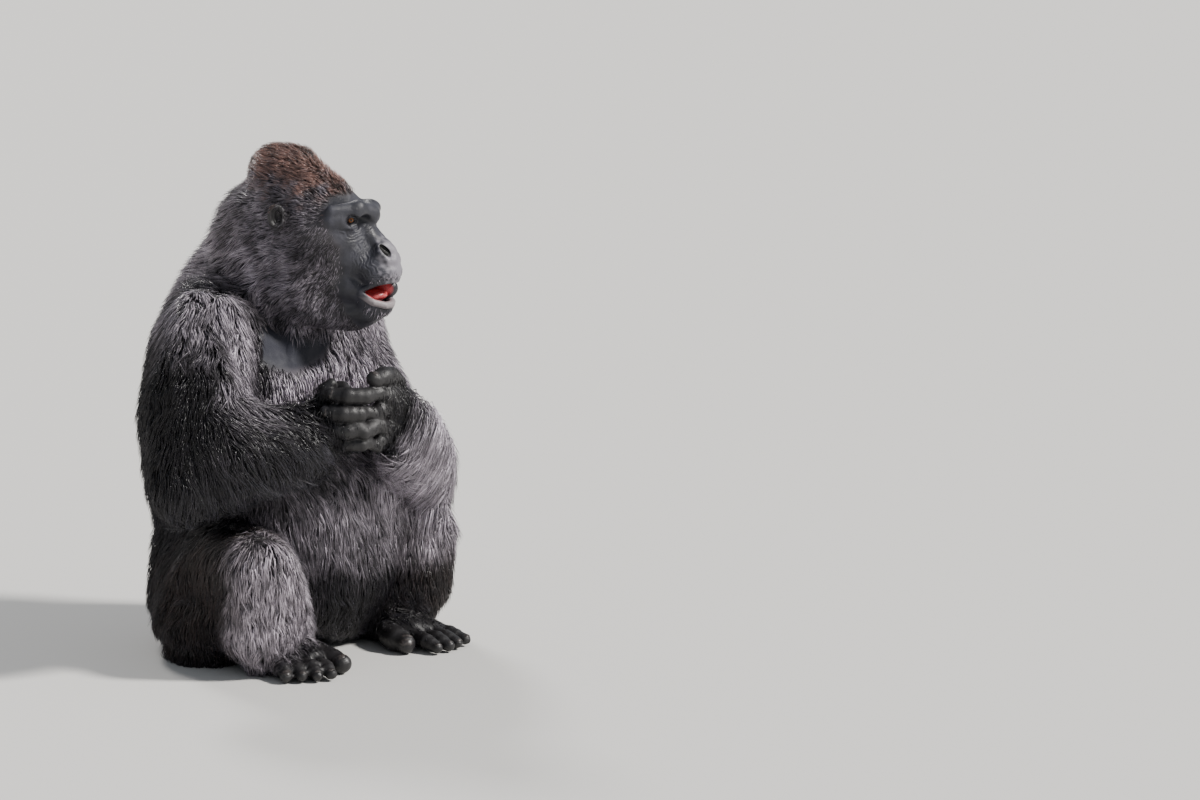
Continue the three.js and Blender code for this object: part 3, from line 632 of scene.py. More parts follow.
def netOf(field, lines):  # one point in each cell that the surface crosses
    inside = field < 0
    shape = np.array(field.shape)
    count = np.zeros(shape - 1, np.uint8)
    corners = [np.array((n & 1, (n >> 1) & 1, n >> 2)) for n in range(8)]
    for o in corners:
        count += inside[tuple(slice(o[i], shape[i] - 1 + o[i]) for i in range(3))]
    active = (count > 0) & (count < 8)
    cells = np.argwhere(active)
    number = np.full(active.shape, -1, np.int32)
    number[active] = np.arange(len(cells))
    total = np.zeros((len(cells), 3))
    crossings = np.zeros(len(cells))
    for a in corners:
        for axis in range(3):
            if a[axis]:
                continue
            b = a.copy()
            b[axis] = 1
            va, vb = field[tuple((cells + a).T)], field[tuple((cells + b).T)]
            cross = (va < 0) != (vb < 0)
            t = np.where(cross, va / np.where(cross, va - vb, 1), 0)
            total += np.where(cross[:, None], a + t[:, None] * (b - a), 0)
            crossings += cross
    total /= crossings[:, None]
    points = np.empty_like(total)
    for i in range(3):
        k = cells[:, i]
        points[:, i] = lines[i][k] + total[:, i] * (lines[i][k + 1] - lines[i][k])
    quads = []
    for axis in range(3):
        u, w = (axis + 1) % 3, (axis + 2) % 3
        cut = [slice(1, -1)] * 3
        here = inside[tuple(cut)]
        cut[axis] = slice(2, None)
        there = inside[tuple(cut)]
        at = np.argwhere(here != there) + 1
        back = []
        for s, t in ((0, 0), (1, 0), (1, 1), (0, 1)):
            o = np.zeros(3, int)
            o[u], o[w] = s, t
            back.append(number[tuple((at - o).T)])
        quad = np.stack(back, 1)
        out = inside[tuple(at.T)]
        quads.append(np.where(out[:, None], quad, quad[:, ::-1]))
    return points, np.concatenate(quads)


def meshFrom(name, points, faces):
    mesh = bpy.data.meshes.new(name)
    mesh.vertices.add(len(points))
    mesh.vertices.foreach_set("co", np.asarray(points, np.float32).ravel())
    flat = np.asarray(faces, np.int32).ravel()
    mesh.loops.add(len(flat))
    mesh.loops.foreach_set("vertex_index", flat)
    mesh.polygons.add(len(faces))
    mesh.polygons.foreach_set("loop_start", np.arange(0, len(flat), faces.shape[1], dtype=np.int32))
    mesh.polygons.foreach_set("use_smooth", np.ones(len(faces), bool))
    mesh.update(calc_edges=True)
    piece = bpy.data.objects.new(name, mesh)
    bpy.context.scene.collection.objects.link(piece)
    return piece


def setMarks(piece, rows):
    for key, value in rows.items():
        layer = piece.data.attributes.new(key, "FLOAT", "POINT")
        layer.data.foreach_set("value", np.asarray(value, np.float32))


def gridPlaces(places):
    k, t = [], []
    for i in range(3):
        n = np.clip(np.searchsorted(lines[i], places[:, i]) - 1, 1, len(lines[i]) - 3)
        k.append(n)
        t.append(np.clip((places[:, i] - lines[i][n]) / (lines[i][n + 1] - lines[i][n]), 0, 1))
    return k, t


def onSkinGrid(places):  # the skin's distance at any places
    k, t = gridPlaces(places)
    total = 0
    for n in range(8):
        o = (n & 1, (n >> 1) & 1, n >> 2)
        w = 1
        for i in range(3):
            w = w * (t[i] if o[i] else 1 - t[i])
        total = total + w * skin[k[0] + o[0], k[1] + o[1], k[2] + o[2]]
    return total


def smoothOnGrid(values, places):  # the same without creases between cells
    k, t = gridPlaces(places)
    weights = []
    for i in range(3):
        u = t[i]
        weights.append(((1 - u) ** 3 / 6, (3 * u ** 3 - 6 * u ** 2 + 4) / 6,
                        (-3 * u ** 3 + 3 * u ** 2 + 3 * u + 1) / 6, u ** 3 / 6))
    total = 0
    for n in range(64):
        o = (n & 3, (n >> 2) & 3, n >> 4)
        w = weights[0][o[0]] * weights[1][o[1]] * weights[2][o[2]]
        total = total + w * values[k[0] + o[0] - 1, k[1] + o[1] - 1, k[2] + o[2] - 1]
    return total


def divided(points, faces, isChosen):  # triangles with the chosen edges cut in half
    sets = faces[:, ((0, 1), (1, 2), (2, 0))]
    keys = sets.min(2).astype(np.int64) * len(points) + sets.max(2)
    found, back = np.unique(keys, return_inverse=True)
    a, b = points[found // len(points)], points[found % len(points)]
    cut = isChosen((a + b) / 2, np.linalg.norm(a - b, axis=1))
    number = np.where(cut, len(points) + np.cumsum(cut) - 1, -1)
    m = number[back].reshape(-1, 3)
    whole = [faces[(m < 0).all(1)]]

    def keep(*sides):
        whole.append(np.stack(sides, 1))

    for turn in range(3):  # one or two edges cut, turned so that the first one is
        f, n = np.roll(faces, -turn, 1), np.roll(m, -turn, 1)
        one = (n[:, 0] >= 0) & (n[:, 1] < 0) & (n[:, 2] < 0)
        two = (n[:, 0] >= 0) & (n[:, 1] >= 0) & (n[:, 2] < 0)
        keep(f[one, 0], n[one, 0], f[one, 2])
        keep(n[one, 0], f[one, 1], f[one, 2])
        keep(n[two, 0], f[two, 1], n[two, 1])
        keep(f[two, 0], n[two, 0], n[two, 1])
        keep(f[two, 0], n[two, 1], f[two, 2])
    f, n = faces[(m >= 0).all(1)], m[(m >= 0).all(1)]
    keep(f[:, 0], n[:, 0], n[:, 2])
    keep(n[:, 0], f[:, 1], n[:, 1])
    keep(n[:, 2], n[:, 1], f[:, 2])
    keep(n[:, 0], n[:, 1], n[:, 2])
    return np.concatenate([points, ((a + b) / 2)[cut]]), np.concatenate(whole)


def faceAt(places):
    return faceField(smoothOnGrid(plainSkin, places), headPoints(places.T))


def settled(places, turns, most=0.0015):  # moved onto the worked face
    for _ in range(turns):
        here = faceAt(places)
        slope = np.stack([(faceAt(places + shift) - here) / 0.0004 for shift in 0.0004 * np.eye(3)], 1)
        steep = np.maximum(np.sum(slope * slope, axis=1), 0.3)
        places = places - slope * np.clip(here / steep, -most, most)[:, None]
    return places


# How far from each place of the face the skin is divided, and how short its edges become.
detail = {
    "face": ((0, 0.150, -0.085), (0.085, 0.095, 0.125), 0.0028),
    "nose": ((0, 0.195, -0.080), (0.046, 0.036, 0.040), 0.0016),
    "mouth": ((0, 0.185, -0.158), (0.056, 0.048, 0.034), 0.0016),
    "eye": ((0.035, 0.128, -0.008), (0.026, 0.024, 0.024), 0.0012),
    "ear": ((0.106, -0.008, 0.004), (0.022, 0.026, 0.036), 0.0018),
}

skinPoints, skinFaces = netOf(skin, lines)
skinFaces = np.concatenate([skinFaces[:, (0, 1, 2)], skinFaces[:, (0, 2, 3)]])
for turn in range(2):
    for at, size, edge in detail.values():
        def isChosen(places, long):
            return (eggAt(mirrored(headPoints(places.T)), at, size) < 0) & (long > edge)
        skinPoints, skinFaces = divided(skinPoints, skinFaces, isChosen)
    half = mirrored(headPoints(skinPoints.T))
    near = np.min([eggAt(half, at, size) for at, size, _ in detail.values()], axis=0) < 0.004
    skinPoints[near] = settled(skinPoints[near], 3)
skinPoints[:, 2] = np.maximum(skinPoints[:, 2], 0.0002)  # soles and seat are flat on the floor
print("the skin has", len(skinFaces), "triangles")
skinPiece = meshFrom("skin", skinPoints, skinFaces)


def outwards(places, step=0.005):  # the skin's normal near any places
    slope = np.empty_like(places)
    for i in range(3):
        shift = np.zeros(3)
        shift[i] = step
        slope[:, i] = onSkinGrid(places + shift) - onSkinGrid(places - shift)
    return slope / (np.linalg.norm(slope, axis=1, keepdims=True) + 1e-9)


# The eyes, the tongue and the nails are pieces of their own.
eyeLook = {"radius": 0.0139, "gaze": 44, "cornea": 0.0011, "edge": 0.50}
tongueLook = {"at": (0, 0.146, -0.1700), "size": (0.033, 0.044, 0.0165), "groove": 0.0028}
nailLook = {"long": 0.0125, "halfTurn": 54, "thick": 0.0012, "proud": 0.0004}


def ball(rings, around):  # a round ball's points, from its front pole to its back one, and faces
    tilts = np.linspace(0, math.pi, rings + 1)[1:-1]
    tilt, turn = np.meshgrid(tilts, np.arange(around) / around * 2 * math.pi, indexing="ij")
    points = np.stack([np.sin(tilt) * np.cos(turn), np.cos(tilt), np.sin(tilt) * np.sin(turn)], -1)
    points = np.vstack([(0, 1, 0), points.reshape(-1, 3), (0, -1, 0)])
    a = 1 + np.arange((rings - 2) * around)
    b = np.where(a % around == 0, a - around + 1, a + 1)
    first, last = a[:around], a[-around:] + around
    ends = np.roll(np.arange(around), -1)
    faces = [np.stack([a, b, b + around], 1), np.stack([a, b + around, a + around], 1)]
    faces.append(np.stack([np.zeros(around, int), first[ends], first], 1))
    faces.append(np.stack([last, last[ends], np.full(around, len(points) - 1)], 1))
    return points, np.concatenate(faces)


def inWorld(head):  # from the head's directions
    return headPlace + head[:, :1] * leftwards + head[:, 1:2] * forwards + head[:, 2:] * np.array((0, 0, 1))


def makeEye(side):
    points, faces = ball(40, 56)
    angle = np.arccos(np.clip(points[:, 1], -1, 1))
    lift = eyeLook["cornea"] * np.clip(1 - (angle / eyeLook["edge"]) ** 2, 0, 1)
    points = points * (eyeLook["radius"] + lift)[:, None]
    turn = math.radians(eyeLook["gaze"]) * (1 if side == "left" else -1)
    ahead = forwards * math.cos(turn) + leftwards * math.sin(turn)
    across = np.cross(ahead, (0, 0, 1))
    points = middle("eye_" + side) + points @ np.stack([across, ahead, (0, 0, 1)])
    piece = meshFrom("eyeball_" + side, points, faces)
    setMarks(piece, {"angle": angle})
    return piece


def makeTongue():
    points, faces = ball(28, 40)
    points = points * np.array(tongueLook["size"])
    top = smoothStep(points[:, 2], -0.002, 0.010)
    points[:, 2] -= tongueLook["groove"] * top * np.exp(-(points[:, 0] / 0.006) ** 2)
    points[:, 2] += 0.004 * smoothStep(points[:, 1], 0.010, 0.040) - 0.0006 * top * waves(points, 0.008, 61)
    return meshFrom("tongueFlesh", inWorld(points + np.array(tongueLook["at"])), faces)


def nailShape(node):  # a curved plate with its two faces and its edges
    centres, radius = digitLines[node]
    ahead = unit(centres[-1] - centres[-2])
    up = np.array((0.0, 0.0, 1.0))
    if "toe" not in node:  # a bent finger's back is on the outside of its bend
        chord = unit(centres[-1] - centres[0])
        bend = centres.mean(0) - centres[0]
        bend = bend - chord * (bend @ chord)
        if np.linalg.norm(bend) > 0.002:
            up = unit(bend)
    up = unit(up - ahead * (up @ ahead))
    side = np.cross(ahead, up)
    rows, columns = 9, 11
    v, u = np.meshgrid(np.linspace(0, 1, rows), np.linspace(-1, 1, columns), indexing="ij")
    scale = radius[-1] / 0.010
    along = (v * 1.1 - 0.55) * nailLook["long"] * scale
    reach = np.sqrt(np.maximum(radius[-1] ** 2 - np.maximum(along, 0) ** 2, (0.35 * radius[-1]) ** 2))
    turn = u * math.radians(nailLook["halfTurn"]) * (1 - 0.22 * np.abs(2 * v - 0.9) ** 3)
    out = np.cos(turn)[..., None] * up + np.sin(turn)[..., None] * side
    spine = centres[-1] + along[..., None] * ahead
    upper = spine + out * (reach + nailLook["proud"] + 0.0003 * (1 - u ** 2))[..., None]
    lower = spine + out * (reach + nailLook["proud"] - nailLook["thick"])[..., None]
    n = np.arange(rows * columns).reshape(rows, columns)
    quads = np.stack([n[:-1, :-1], n[:-1, 1:], n[1:, 1:], n[1:, :-1]], -1).reshape(-1, 4)
    rim = np.concatenate([n[0, :-1], n[:-1, -1], n[-1, :0:-1], n[:0:-1, 0]])
    wall = np.stack([rim, np.roll(rim, -1), np.roll(rim, -1) + n.size, rim + n.size], 1)
    points = np.concatenate([upper.reshape(-1, 3), lower.reshape(-1, 3)])
    faces = np.concatenate([quads[:, ::-1], quads + n.size, wall])
    first = points[faces[0]]
    if np.cross(first[1] - first[0], first[2] - first[0]) @ (first.mean(0) - centres[-1]) < 0:
        faces = faces[:, ::-1]
    return points, faces


def makeNails(name, nodes):
    points, faces, start = [], [], 0
    for node in nodes:
        p, f = nailShape(node)
        points.append(p)
        faces.append(f + start)
        start += len(p)
    points = np.concatenate(points)
    points[:, 2] = np.maximum(points[:, 2], 0.0004)
    return meshFrom(name, points, np.concatenate(faces))


eyePieces = [makeEye(side) for side in sides]
tonguePiece = makeTongue()
nailPieces = [makeNails("fingerNails", [f"{n}_{s}" for s in sides for n in fingerNames]),
              makeNails("toeNails", [f"{n}_{s}" for s in sides for n in toeNames])]
print("eyes, tongue and nails are made")

bareFace = {  # how far forward the hair of the cheeks reaches, at heights on the head
    "up": (-0.30, -0.235, -0.19, -0.147, -0.104, -0.060, -0.02, 0.0, 0.020, 0.036),
    "ahead": (0.200, 0.140, 0.112, 0.104, 0.112, 0.118, 0.098, 0.088, 0.080, 0.082),
    "brow": 0.040,
    "soft": 0.010,
}
bareChest = {"at": (0.000, -0.085, 0.672), "size": (0.125, 0.10, 0.076)}


def bareAt(places):
    l, f, z = headPoints(places.T)
    edge = np.interp(z, bareFace["up"], bareFace["ahead"])
    soft = bareFace["soft"]
    bare = smoothStep(f - edge, -soft, soft)
    bare = bare * (1 - smoothStep(z, bareFace["brow"] - 0.006, bareFace["brow"] + 0.01))
    bare = bare * smoothStep(z, -0.27, -0.25)
    ear = eggAt((np.abs(l), f + 0.003, z), face["ear"], (0.016, 0.012, 0.019))
    bare = np.maximum(bare, 1 - smoothStep(ear, -0.002, 0.003))
    chest = eggAt(places.T, bareChest["at"], bareChest["size"])
    trunk = shareOf("chest", places)
    bare = np.maximum(bare, (1 - smoothStep(chest, -0.010, 0.012)) * smoothStep(trunk, 0.45, 0.65))
    return bare


coat = {
    "tufts": 136000,
    "bristles": 5,
    "thick": 0.38,  # of its width
    "clump": 0.35,  # how far neighbours lean together
    "locks": 0.28,  # how far the hairs of a lock lean together
    "unruly": 0.14,
    "lowest": 0.012,  # none grows under what rests on the floor
    "patch": 0.0015,  # half of a tuft's patch on its UV map
    "paired": ("coat_upper_arm", "coat_forearm", "coat_leg", "coat_chest", "coat_belly"),
}
coatPieces = {  # which regions each holds, and the line that its unwrap turns round
    "coat_crown": (("head",), (0, 0, 1)),
    "coat_cheeks": (("muzzle", "lower_jaw", "ear"), (0, 0, 1)),
    "coat_neck": (("neck",), (0, 0, 1)),
    "coat_chest": (("chest",), (0, 0, 1)),
    "coat_belly": (("belly",), (0, 0, 1)),
    "coat_rump": (("rump",), (0, 0, 1)),
    "coat_upper_arm": (("upper_arm",), (0.45, -0.3, -1)),
    "coat_forearm": (("forearm", "hand", "digit"), (-0.85, -0.35, 0.55)),
    "coat_leg": (("thigh", "lower_leg", "foot"), (0.35, -0.9, 0.2)),
}
bodyMiddle = middle("chest")[0]


def bristly(places):  # where short pale hairs stand round the mouth and on the chin
    half = mirrored(headPoints(places.T))
    mouth = eggAt(half, face["cavity"][0], (0.058, 0.060, 0.052))
    around = (1 - smoothStep(mouth, -0.006, 0.006)) * smoothStep(lipsAt(half), 0.008, 0.011)
    return around * smoothStep(eggAt(half, *face["cavity"]), 0.001, 0.004)


def coatRoots(rng):
    a, b, c = triangleCorners(skinPoints, skinFaces)
    centre = (a + b + c) / 3
    area = areas(a, b, c)
    weight = area * onRegions(spread("tufts"), centre) * (1 - bareAt(centre))
    weight += area * coat["bristles"] * bristly(centre)
    weight = np.where(centre[:, 2] < coat["lowest"], 0, weight)
    return scattered(a, b, c, weight, coat["tufts"], rng)


def leaning(places, normals, mix):  # the way the hair lies at each place
    way = np.stack([mix @ np.array([regions[n]["along"][i] for n in regionNames]) for i in range(3)], 1)
    side = np.sign(places[:, 0] - bodyMiddle)
    way[:, 0] += side * (mix @ np.array([regions[n]["out"] for n in regionNames]))
    crown = smoothStep(headPoints(places.T)[2], 0.0, 0.05) * mix[:, regionNames.index("head")]
    way = way * (1 - crown[:, None]) + crown[:, None] * (-forwards + np.array((0, 0, 0.15)))
    lean = np.stack([waves(places, 0.045, 11 + i) for i in range(3)], 1)
    lean = lean + 0.6 * np.stack([waves(places, 0.014, 21 + i) for i in range(3)], 1)
    way = way / np.linalg.norm(way, axis=1, keepdims=True) + coat["clump"] * lean * 0.5
    way = way - normals * np.sum(way * normals, axis=1, keepdims=True)
    return way / (np.linalg.norm(way, axis=1, keepdims=True) + 1e-6)


def combed(roots, mix, rng):  # three stations of each tuft, with the normal and way at each
    count = len(roots)
    number = {k: mix @ np.array([regions[n][k] for n in regionNames])
              for k in ("long", "wide", "stand", "depth", "hang")}
    size = rng.uniform(0.7, 1.2, count) * (1 + 0.12 * waves(roots, 0.05, 31))
    long = number["long"] * size
    high = number["depth"] * number["stand"] * rng.uniform(0.45, 1.15, count) + 0.0005
    stations = []
    at = roots
    for part, lift in ((0.0, -0.12), (0.45, 0.62), (0.55, 1.0)):
        if part:
            step = way * (long * part)[:, None]
            free = at + step * 0.6 + np.array((0, 0, -1)) * (long * part * 0.5)[:, None]
            at = at + step
            normal = outwards(at)
            at = at - normal * onSkinGrid(at)[:, None]
            hang = (number["hang"] * part)[:, None]
            at = at * (1 - hang) + free * hang
        normal = outwards(at)
        way = leaning(at, normal, mix)
        if part == 0.0:
            lock = np.stack([waves(roots, 0.010, 51 + i, 14) for i in range(3)], 1)
            way = way + coat["locks"] * (lock - normal * np.sum(lock * normal, axis=1, keepdims=True))
            twist = rng.normal(0, coat["unruly"], count)[:, None]
            way = way + twist * np.cross(normal, way)
            way /= np.linalg.norm(way, axis=1, keepdims=True)
        place = at + normal * (high * lift)[:, None]
        place[:, 2] = np.maximum(place[:, 2], 0.0006)
        stations.append((place, normal, way))
    return stations, number["wide"] * rng.uniform(0.75, 1.25, count)


# Three points round the root, three half way and one at the tip.
tuftFaces = np.array([(0, 1, 2), (0, 3, 4), (0, 4, 1), (1, 4, 5), (1, 5, 2), (2, 5, 3), (2, 3, 0),
                      (3, 6, 4), (4, 6, 5), (5, 6, 3)])


def tuftMesh(name, stations, wide, marks, patch):
    count = len(wide)
    points = np.empty((count, 7, 3))
    for ring, share in ((0, 0.55), (1, 1.0)):
        at, normal, way = stations[ring]
        side = np.cross(normal, way) * (wide * share / 2)[:, None]
        points[:, 3 * ring] = at - side
        points[:, 3 * ring + 1] = at + side
        points[:, 3 * ring + 2] = at + normal * (wide * share * coat["thick"])[:, None]
    points[:, 6] = stations[2][0]
    points[..., 2] = np.maximum(points[..., 2], 0.0003)
    faces = (tuftFaces[None] + 7 * np.arange(count)[:, None, None]).reshape(-1, 3)
    piece = meshFrom(name, points.reshape(-1, 3), faces)
    mesh = piece.data
    tip = np.tile((0, 0, 0, 0.5, 0.5, 0.5, 1), count)
    setMarks(piece, {"tip": tip, **{k: np.repeat(v, 7) for k, v in marks.items()}})
    across = np.tile((-1, 1, 0, -1, 1, 0, 0), count) * coat["patch"]
    along = np.tile((-1, -1, -1, 0, 0, 0, 1), count) * coat["patch"]
    uv = np.repeat(patch, 7, axis=0) + np.stack([across, along], 1)
    mesh.uv_layers.new(name="OFBake").data.foreach_set("uv", uv[faces.ravel()].astype(np.float32).ravel())
    return piece


def unwrapped(roots, axis):  # turned round a line through their middle, and evened out along it
    axis = unit(np.array(axis, float))
    east = unit(np.cross(axis, (0.3, 1, 0.2)))
    north = np.cross(axis, east)
    away = roots - roots.mean(0)
    turn = np.arctan2(away @ north, away @ east) / (2 * math.pi) + 0.5
    climb = np.arctan2(away @ axis, np.hypot(away @ east, away @ north))
    order = np.empty(len(roots))
    order[np.argsort(climb)] = np.arange(len(roots)) / len(roots)
    return np.stack([0.01 + 0.98 * turn, 0.01 + 0.98 * order], 1)


# How silver the coat is: mostly painted sunlit sheen where sunlight would catch the long hair, with the
# coat's own silver on the back. 1 is wholly silver.
silverLook = {
    "upperArm": 0.42,
    "rightForearm": 0.04,
    "leftForearm": 0.50,  # above the right one
    "back": 0.28,
    "breast": 1.3,
    "shin": 0.52,
    "belly": 0.33,
    "neck": 0.34,
    "shoulder": 0.38,
    "head": 0.33,
    "jaw": 0.10,
}
jawPatch = ((0.09, -0.02, -0.09), (0.07, 0.045, 0.11))


def marksAt(places):  # the coat's markings and its painted sunlit sheen, shared by skin and hair
    l, f, z = headPoints(places.T)
    crown = smoothStep(z + 0.12 * (f - 0.02) + 0.014 * waves(places, 0.03, 81), 0.012, 0.090)
    rows = {"crown": crown * smoothStep(f, -0.17, -0.05)}
    mix = mixAt(places)

    def get(*names):
        return sum(mix[:, regionNames.index(n)] for n in names)

    def front(name, ahead):
        return get(name) * smoothStep(middle(name + "_right")[1] - y, *ahead)

    x, y, high = places.T
    nearMiddle = 1 - smoothStep(np.abs(x - bodyMiddle), 0.16, 0.22)
    isLeft = smoothStep(x - bodyMiddle, 0.0, 0.05)
    inner = np.where(x < bodyMiddle, smoothStep(0.64 * x - 0.77 * y, -0.130, -0.080), 1)
    # Painted sunlit sheen: the front of the upper arms, the left forearm, the breast, the shins, the top of
    # the belly, the neck and the shoulders turn silver as if sunlight caught their hair. The silver of the
    # back is the coat's own.
    lit = front("upper_arm", (0.0, 0.07)) * inner * smoothStep(high, 0.48, 0.56)
    back = smoothStep(y, 0.10, 0.17) * (1 - smoothStep(np.abs(x - bodyMiddle), 0.10, 0.19))
    forearm = silverLook["rightForearm"] + silverLook["leftForearm"] * isLeft
    silver = silverLook["upperArm"] * lit + get("forearm") * forearm
    silver = silver + silverLook["back"] * back * get("chest", "belly", "rump")
    silver += silverLook["breast"] * get("chest") * nearMiddle * smoothStep(-y, 0.03, 0.09)
    shin = np.where(x < bodyMiddle, 1, smoothStep(high, 0.15, 0.24))
    silver += silverLook["shin"] * front("lower_leg", (-0.06, 0.0)) * shin
    silver += silverLook["belly"] * get("belly") * smoothStep(high, 0.17, 0.25) * smoothStep(-y, -0.02, 0.06)
    above = silverLook["neck"] * get("neck") + silverLook["shoulder"] * get("upper_arm")
    silver += above * smoothStep(high, 0.62, 0.74)
    jaw = 1 - smoothStep(eggAt(mirrored((l, f, z)), *jawPatch), -0.01, 0.03)
    silver += silverLook["head"] * get("head", "lower_jaw", "muzzle") + silverLook["jaw"] * jaw
    rows["silver"] = np.clip(silver, 0, 1)
    brown = get("neck") * 0.6 + get("thigh", "lower_leg") * 0.5 + get("rump") * 0.4 + get("head") * 0.3
    rows["brown"] = np.clip(brown, 0, 1)
    return rows


def makeCoat():
    rng = np.random.default_rng(7)
    roots = coatRoots(rng)
    mix = mixAt(roots)
    mix /= mix.sum(1, keepdims=True) + 1e-6
    stations, wide = combed(roots, mix, rng)
    marks = marksAt(roots)
    pale = bristly(roots) * (rng.random(len(roots)) < 0.8)
    marks["silver"] = np.maximum(marks["silver"], pale)
    strand = 0.5 + 0.22 * rng.normal(size=len(roots)) + 0.12 * waves(roots, 0.03, 41)
    marks["strand"] = np.clip(strand, 0, 1)
    mostly = np.argmax(mix, 1)
    isLeft = roots[:, 0] > bodyMiddle
    made = []
    for base, (held, axis) in coatPieces.items():
        mine = np.isin(mostly, [regionNames.index(n) for n in held])
        halves = {"": mine}
        if base in coat["paired"]:
            halves = {"_left": mine & isLeft, "_right": mine & ~isLeft}
        for ending, chosen in halves.items():
            turned = np.array(axis, float) * ((-1 if ending == "_right" else 1), 1, 1)
            patch = unwrapped(roots[chosen], turned)
            cut = [tuple(a[chosen] for a in s) for s in stations]
            mineMarks = {k: v[chosen] for k, v in marks.items()}
            made.append(tuftMesh(base + ending, cut, wide[chosen], mineMarks, patch))
            print(base + ending, len(made[-1].data.polygons))
    return made


coatMade = makeCoat()


def add(tree, kind, settings=None, **sockets):
    made = tree.nodes.new("ShaderNode" + kind)
    for key, value in (settings or {}).items():
        setattr(made, key, value)
    for key, value in sockets.items():
        socket = made.inputs[int(key[1:]) if key[0] == "n" and key[1:].isdigit() else key]
        if isinstance(value, bpy.types.NodeSocket):
            tree.links.new(value, socket)
        else:
            socket.default_value = value
    return made


def colour(value):
    return value if isinstance(value, bpy.types.NodeSocket) else (*value, 1)


def mixed(tree, share, a, b, way="MIX"):
    settings = {"data_type": "RGBA", "blend_type": way}
    return add(tree, "Mix", settings, n0=share, n6=colour(a), n7=colour(b)).outputs[2]


def plus(tree, a, b):
    return add(tree, "Math", {"operation": "ADD"}, n0=a, n1=b).outputs[0]


def times(tree, a, b):
    return add(tree, "Math", {"operation": "MULTIPLY"}, n0=a, n1=b).outputs[0]


def objectPlace(tree):
    return add(tree, "TexCoord").outputs["Object"]


def ranged(tree, value, low, high, start=0.0, end=1.0):
    made = add(tree, "MapRange", {"interpolation_type": "SMOOTHSTEP"}, Value=value)
    for key, number in (("From Min", low), ("From Max", high), ("To Min", start), ("To Max", end)):
        made.inputs[key].default_value = number
    return made.outputs[0]


def mark(tree, name):
    return add(tree, "Attribute", {"attribute_name": name}).outputs["Fac"]


def noise(tree, place, scale, detail=3.0):
    return add(tree, "TexNoise", Vector=place, Scale=scale, Detail=detail).outputs[0]


def newPaint(name, **fixed):
    material = bpy.data.materials.new(name)
    material.use_nodes = True
    shader = material.node_tree.nodes["Principled BSDF"]
    for key, value in fixed.items():
        shader.inputs[key.replace("_", " ")].default_value = value
    return material, material.node_tree, shader


def newGroup(name, takes, gives):
    group = bpy.data.node_groups.new(name, "ShaderNodeTree")
    for key, kind, value in takes:
        socket = group.interface.new_socket(key, in_out="INPUT", socket_type="NodeSocket" + kind)
        socket.default_value = value
    for key, kind in gives:
        group.interface.new_socket(key, in_out="OUTPUT", socket_type="NodeSocket" + kind)
    start = group.nodes.new("NodeGroupInput")
    end = group.nodes.new("NodeGroupOutput")
    return group, start.outputs, end.inputs


def placed(tree, group):
    made = tree.nodes.new("ShaderNodeGroup")
    made.node_tree = group
    return made.outputs


# The markings of hair and of the skin beneath it: a black coat with a red-brown crown and brown legs. Its
# pale silver is partly the coat's own, and mostly painted sunlit sheen where the light catches the long
# hair.
coatTones = {
    "Black": (0.0065, 0.0055, 0.0070, 1),
    "Crown": (0.165, 0.096, 0.080, 1),
    "Brown": (0.030, 0.021, 0.018, 1),
    "Silver": (0.520, 0.465, 0.530, 1),
}


def makeMarkings():
    takes = [(k, "Color", v) for k, v in coatTones.items()] + [("Patchiness", "Float", 0.5)]
    group, given, out = newGroup("coatMarkings", takes, [("Color", "Color")])
    place = objectPlace(group)
    patch = noise(group, place, 14.0, 4.0)
    fine = noise(group, place, 60.0, 3.0)
    both = plus(group, times(group, patch, 0.65), times(group, fine, 0.35))
    swing = times(group, plus(group, both, -0.5), given["Patchiness"])
    tone = given["Black"]
    for key in ("Brown", "Silver", "Crown"):
        marked = mark(group, key.lower())
        share = plus(group, marked, times(group, swing, 1.6))
        share = times(group, ranged(group, share, 0.0, 1.0), ranged(group, marked, 0.0, 0.1))
        tone = mixed(group, share, tone, given[key])
    group.links.new(tone, out["Color"])
    return group


markings = makeMarkings()

hairLook = {"roots": 0.26, "tips": 1.95, "spread": 0.85, "rough": (0.42, 0.24)}


def makeHairPaint():
    material, tree, shader = newPaint("hair", Sheen_Weight=0.05, Sheen_Roughness=0.4)
    shader.inputs["Sheen Tint"].default_value = (0.80, 0.80, 1.0, 1)
    shader.inputs["Specular IOR Level"].default_value = 0.5
    tone = placed(tree, markings)["Color"]
    along = ranged(tree, mark(tree, "tip"), 0.0, 1.0, hairLook["roots"], hairLook["tips"])
    strand = ranged(tree, mark(tree, "strand"), 0.0, 1.0, 1 - hairLook["spread"], 1 + hairLook["spread"])
    dark = times(tree, along, strand)
    shade = add(tree, "CombineColor", Red=dark, Green=dark, Blue=dark).outputs[0]
    tree.links.new(mixed(tree, 1.0, tone, shade, "MULTIPLY"), shader.inputs["Base Color"])
    rough = ranged(tree, mark(tree, "strand"), 0.0, 1.0, *hairLook["rough"])
    tree.links.new(rough, shader.inputs["Roughness"])
    return material


hairPaint = makeHairPaint()

skinTones = {
    "under": (0.008, 0.007, 0.008),
    "slate": (0.017, 0.017, 0.023),
    "pale": (0.036, 0.036, 0.048),
    # painted highlight: the sunlit shine on the nose and upper lip
    "nose": (0.190, 0.178, 0.205),
    # painted shade: the bare chest is darker and bluer, as it lies in the head's shadow
    "chest": (0.015, 0.016, 0.027),
    "mouth": (0.36, 0.028, 0.034),
    "tongue": (0.50, 0.085, 0.085),
    "rim": (0.27, 0.235, 0.245),
    "palm": (0.012, 0.011, 0.012),
    # painted shade: the inside of the shallow nostrils is darkened
    "nostril": (0.002, 0.002, 0.002),
}


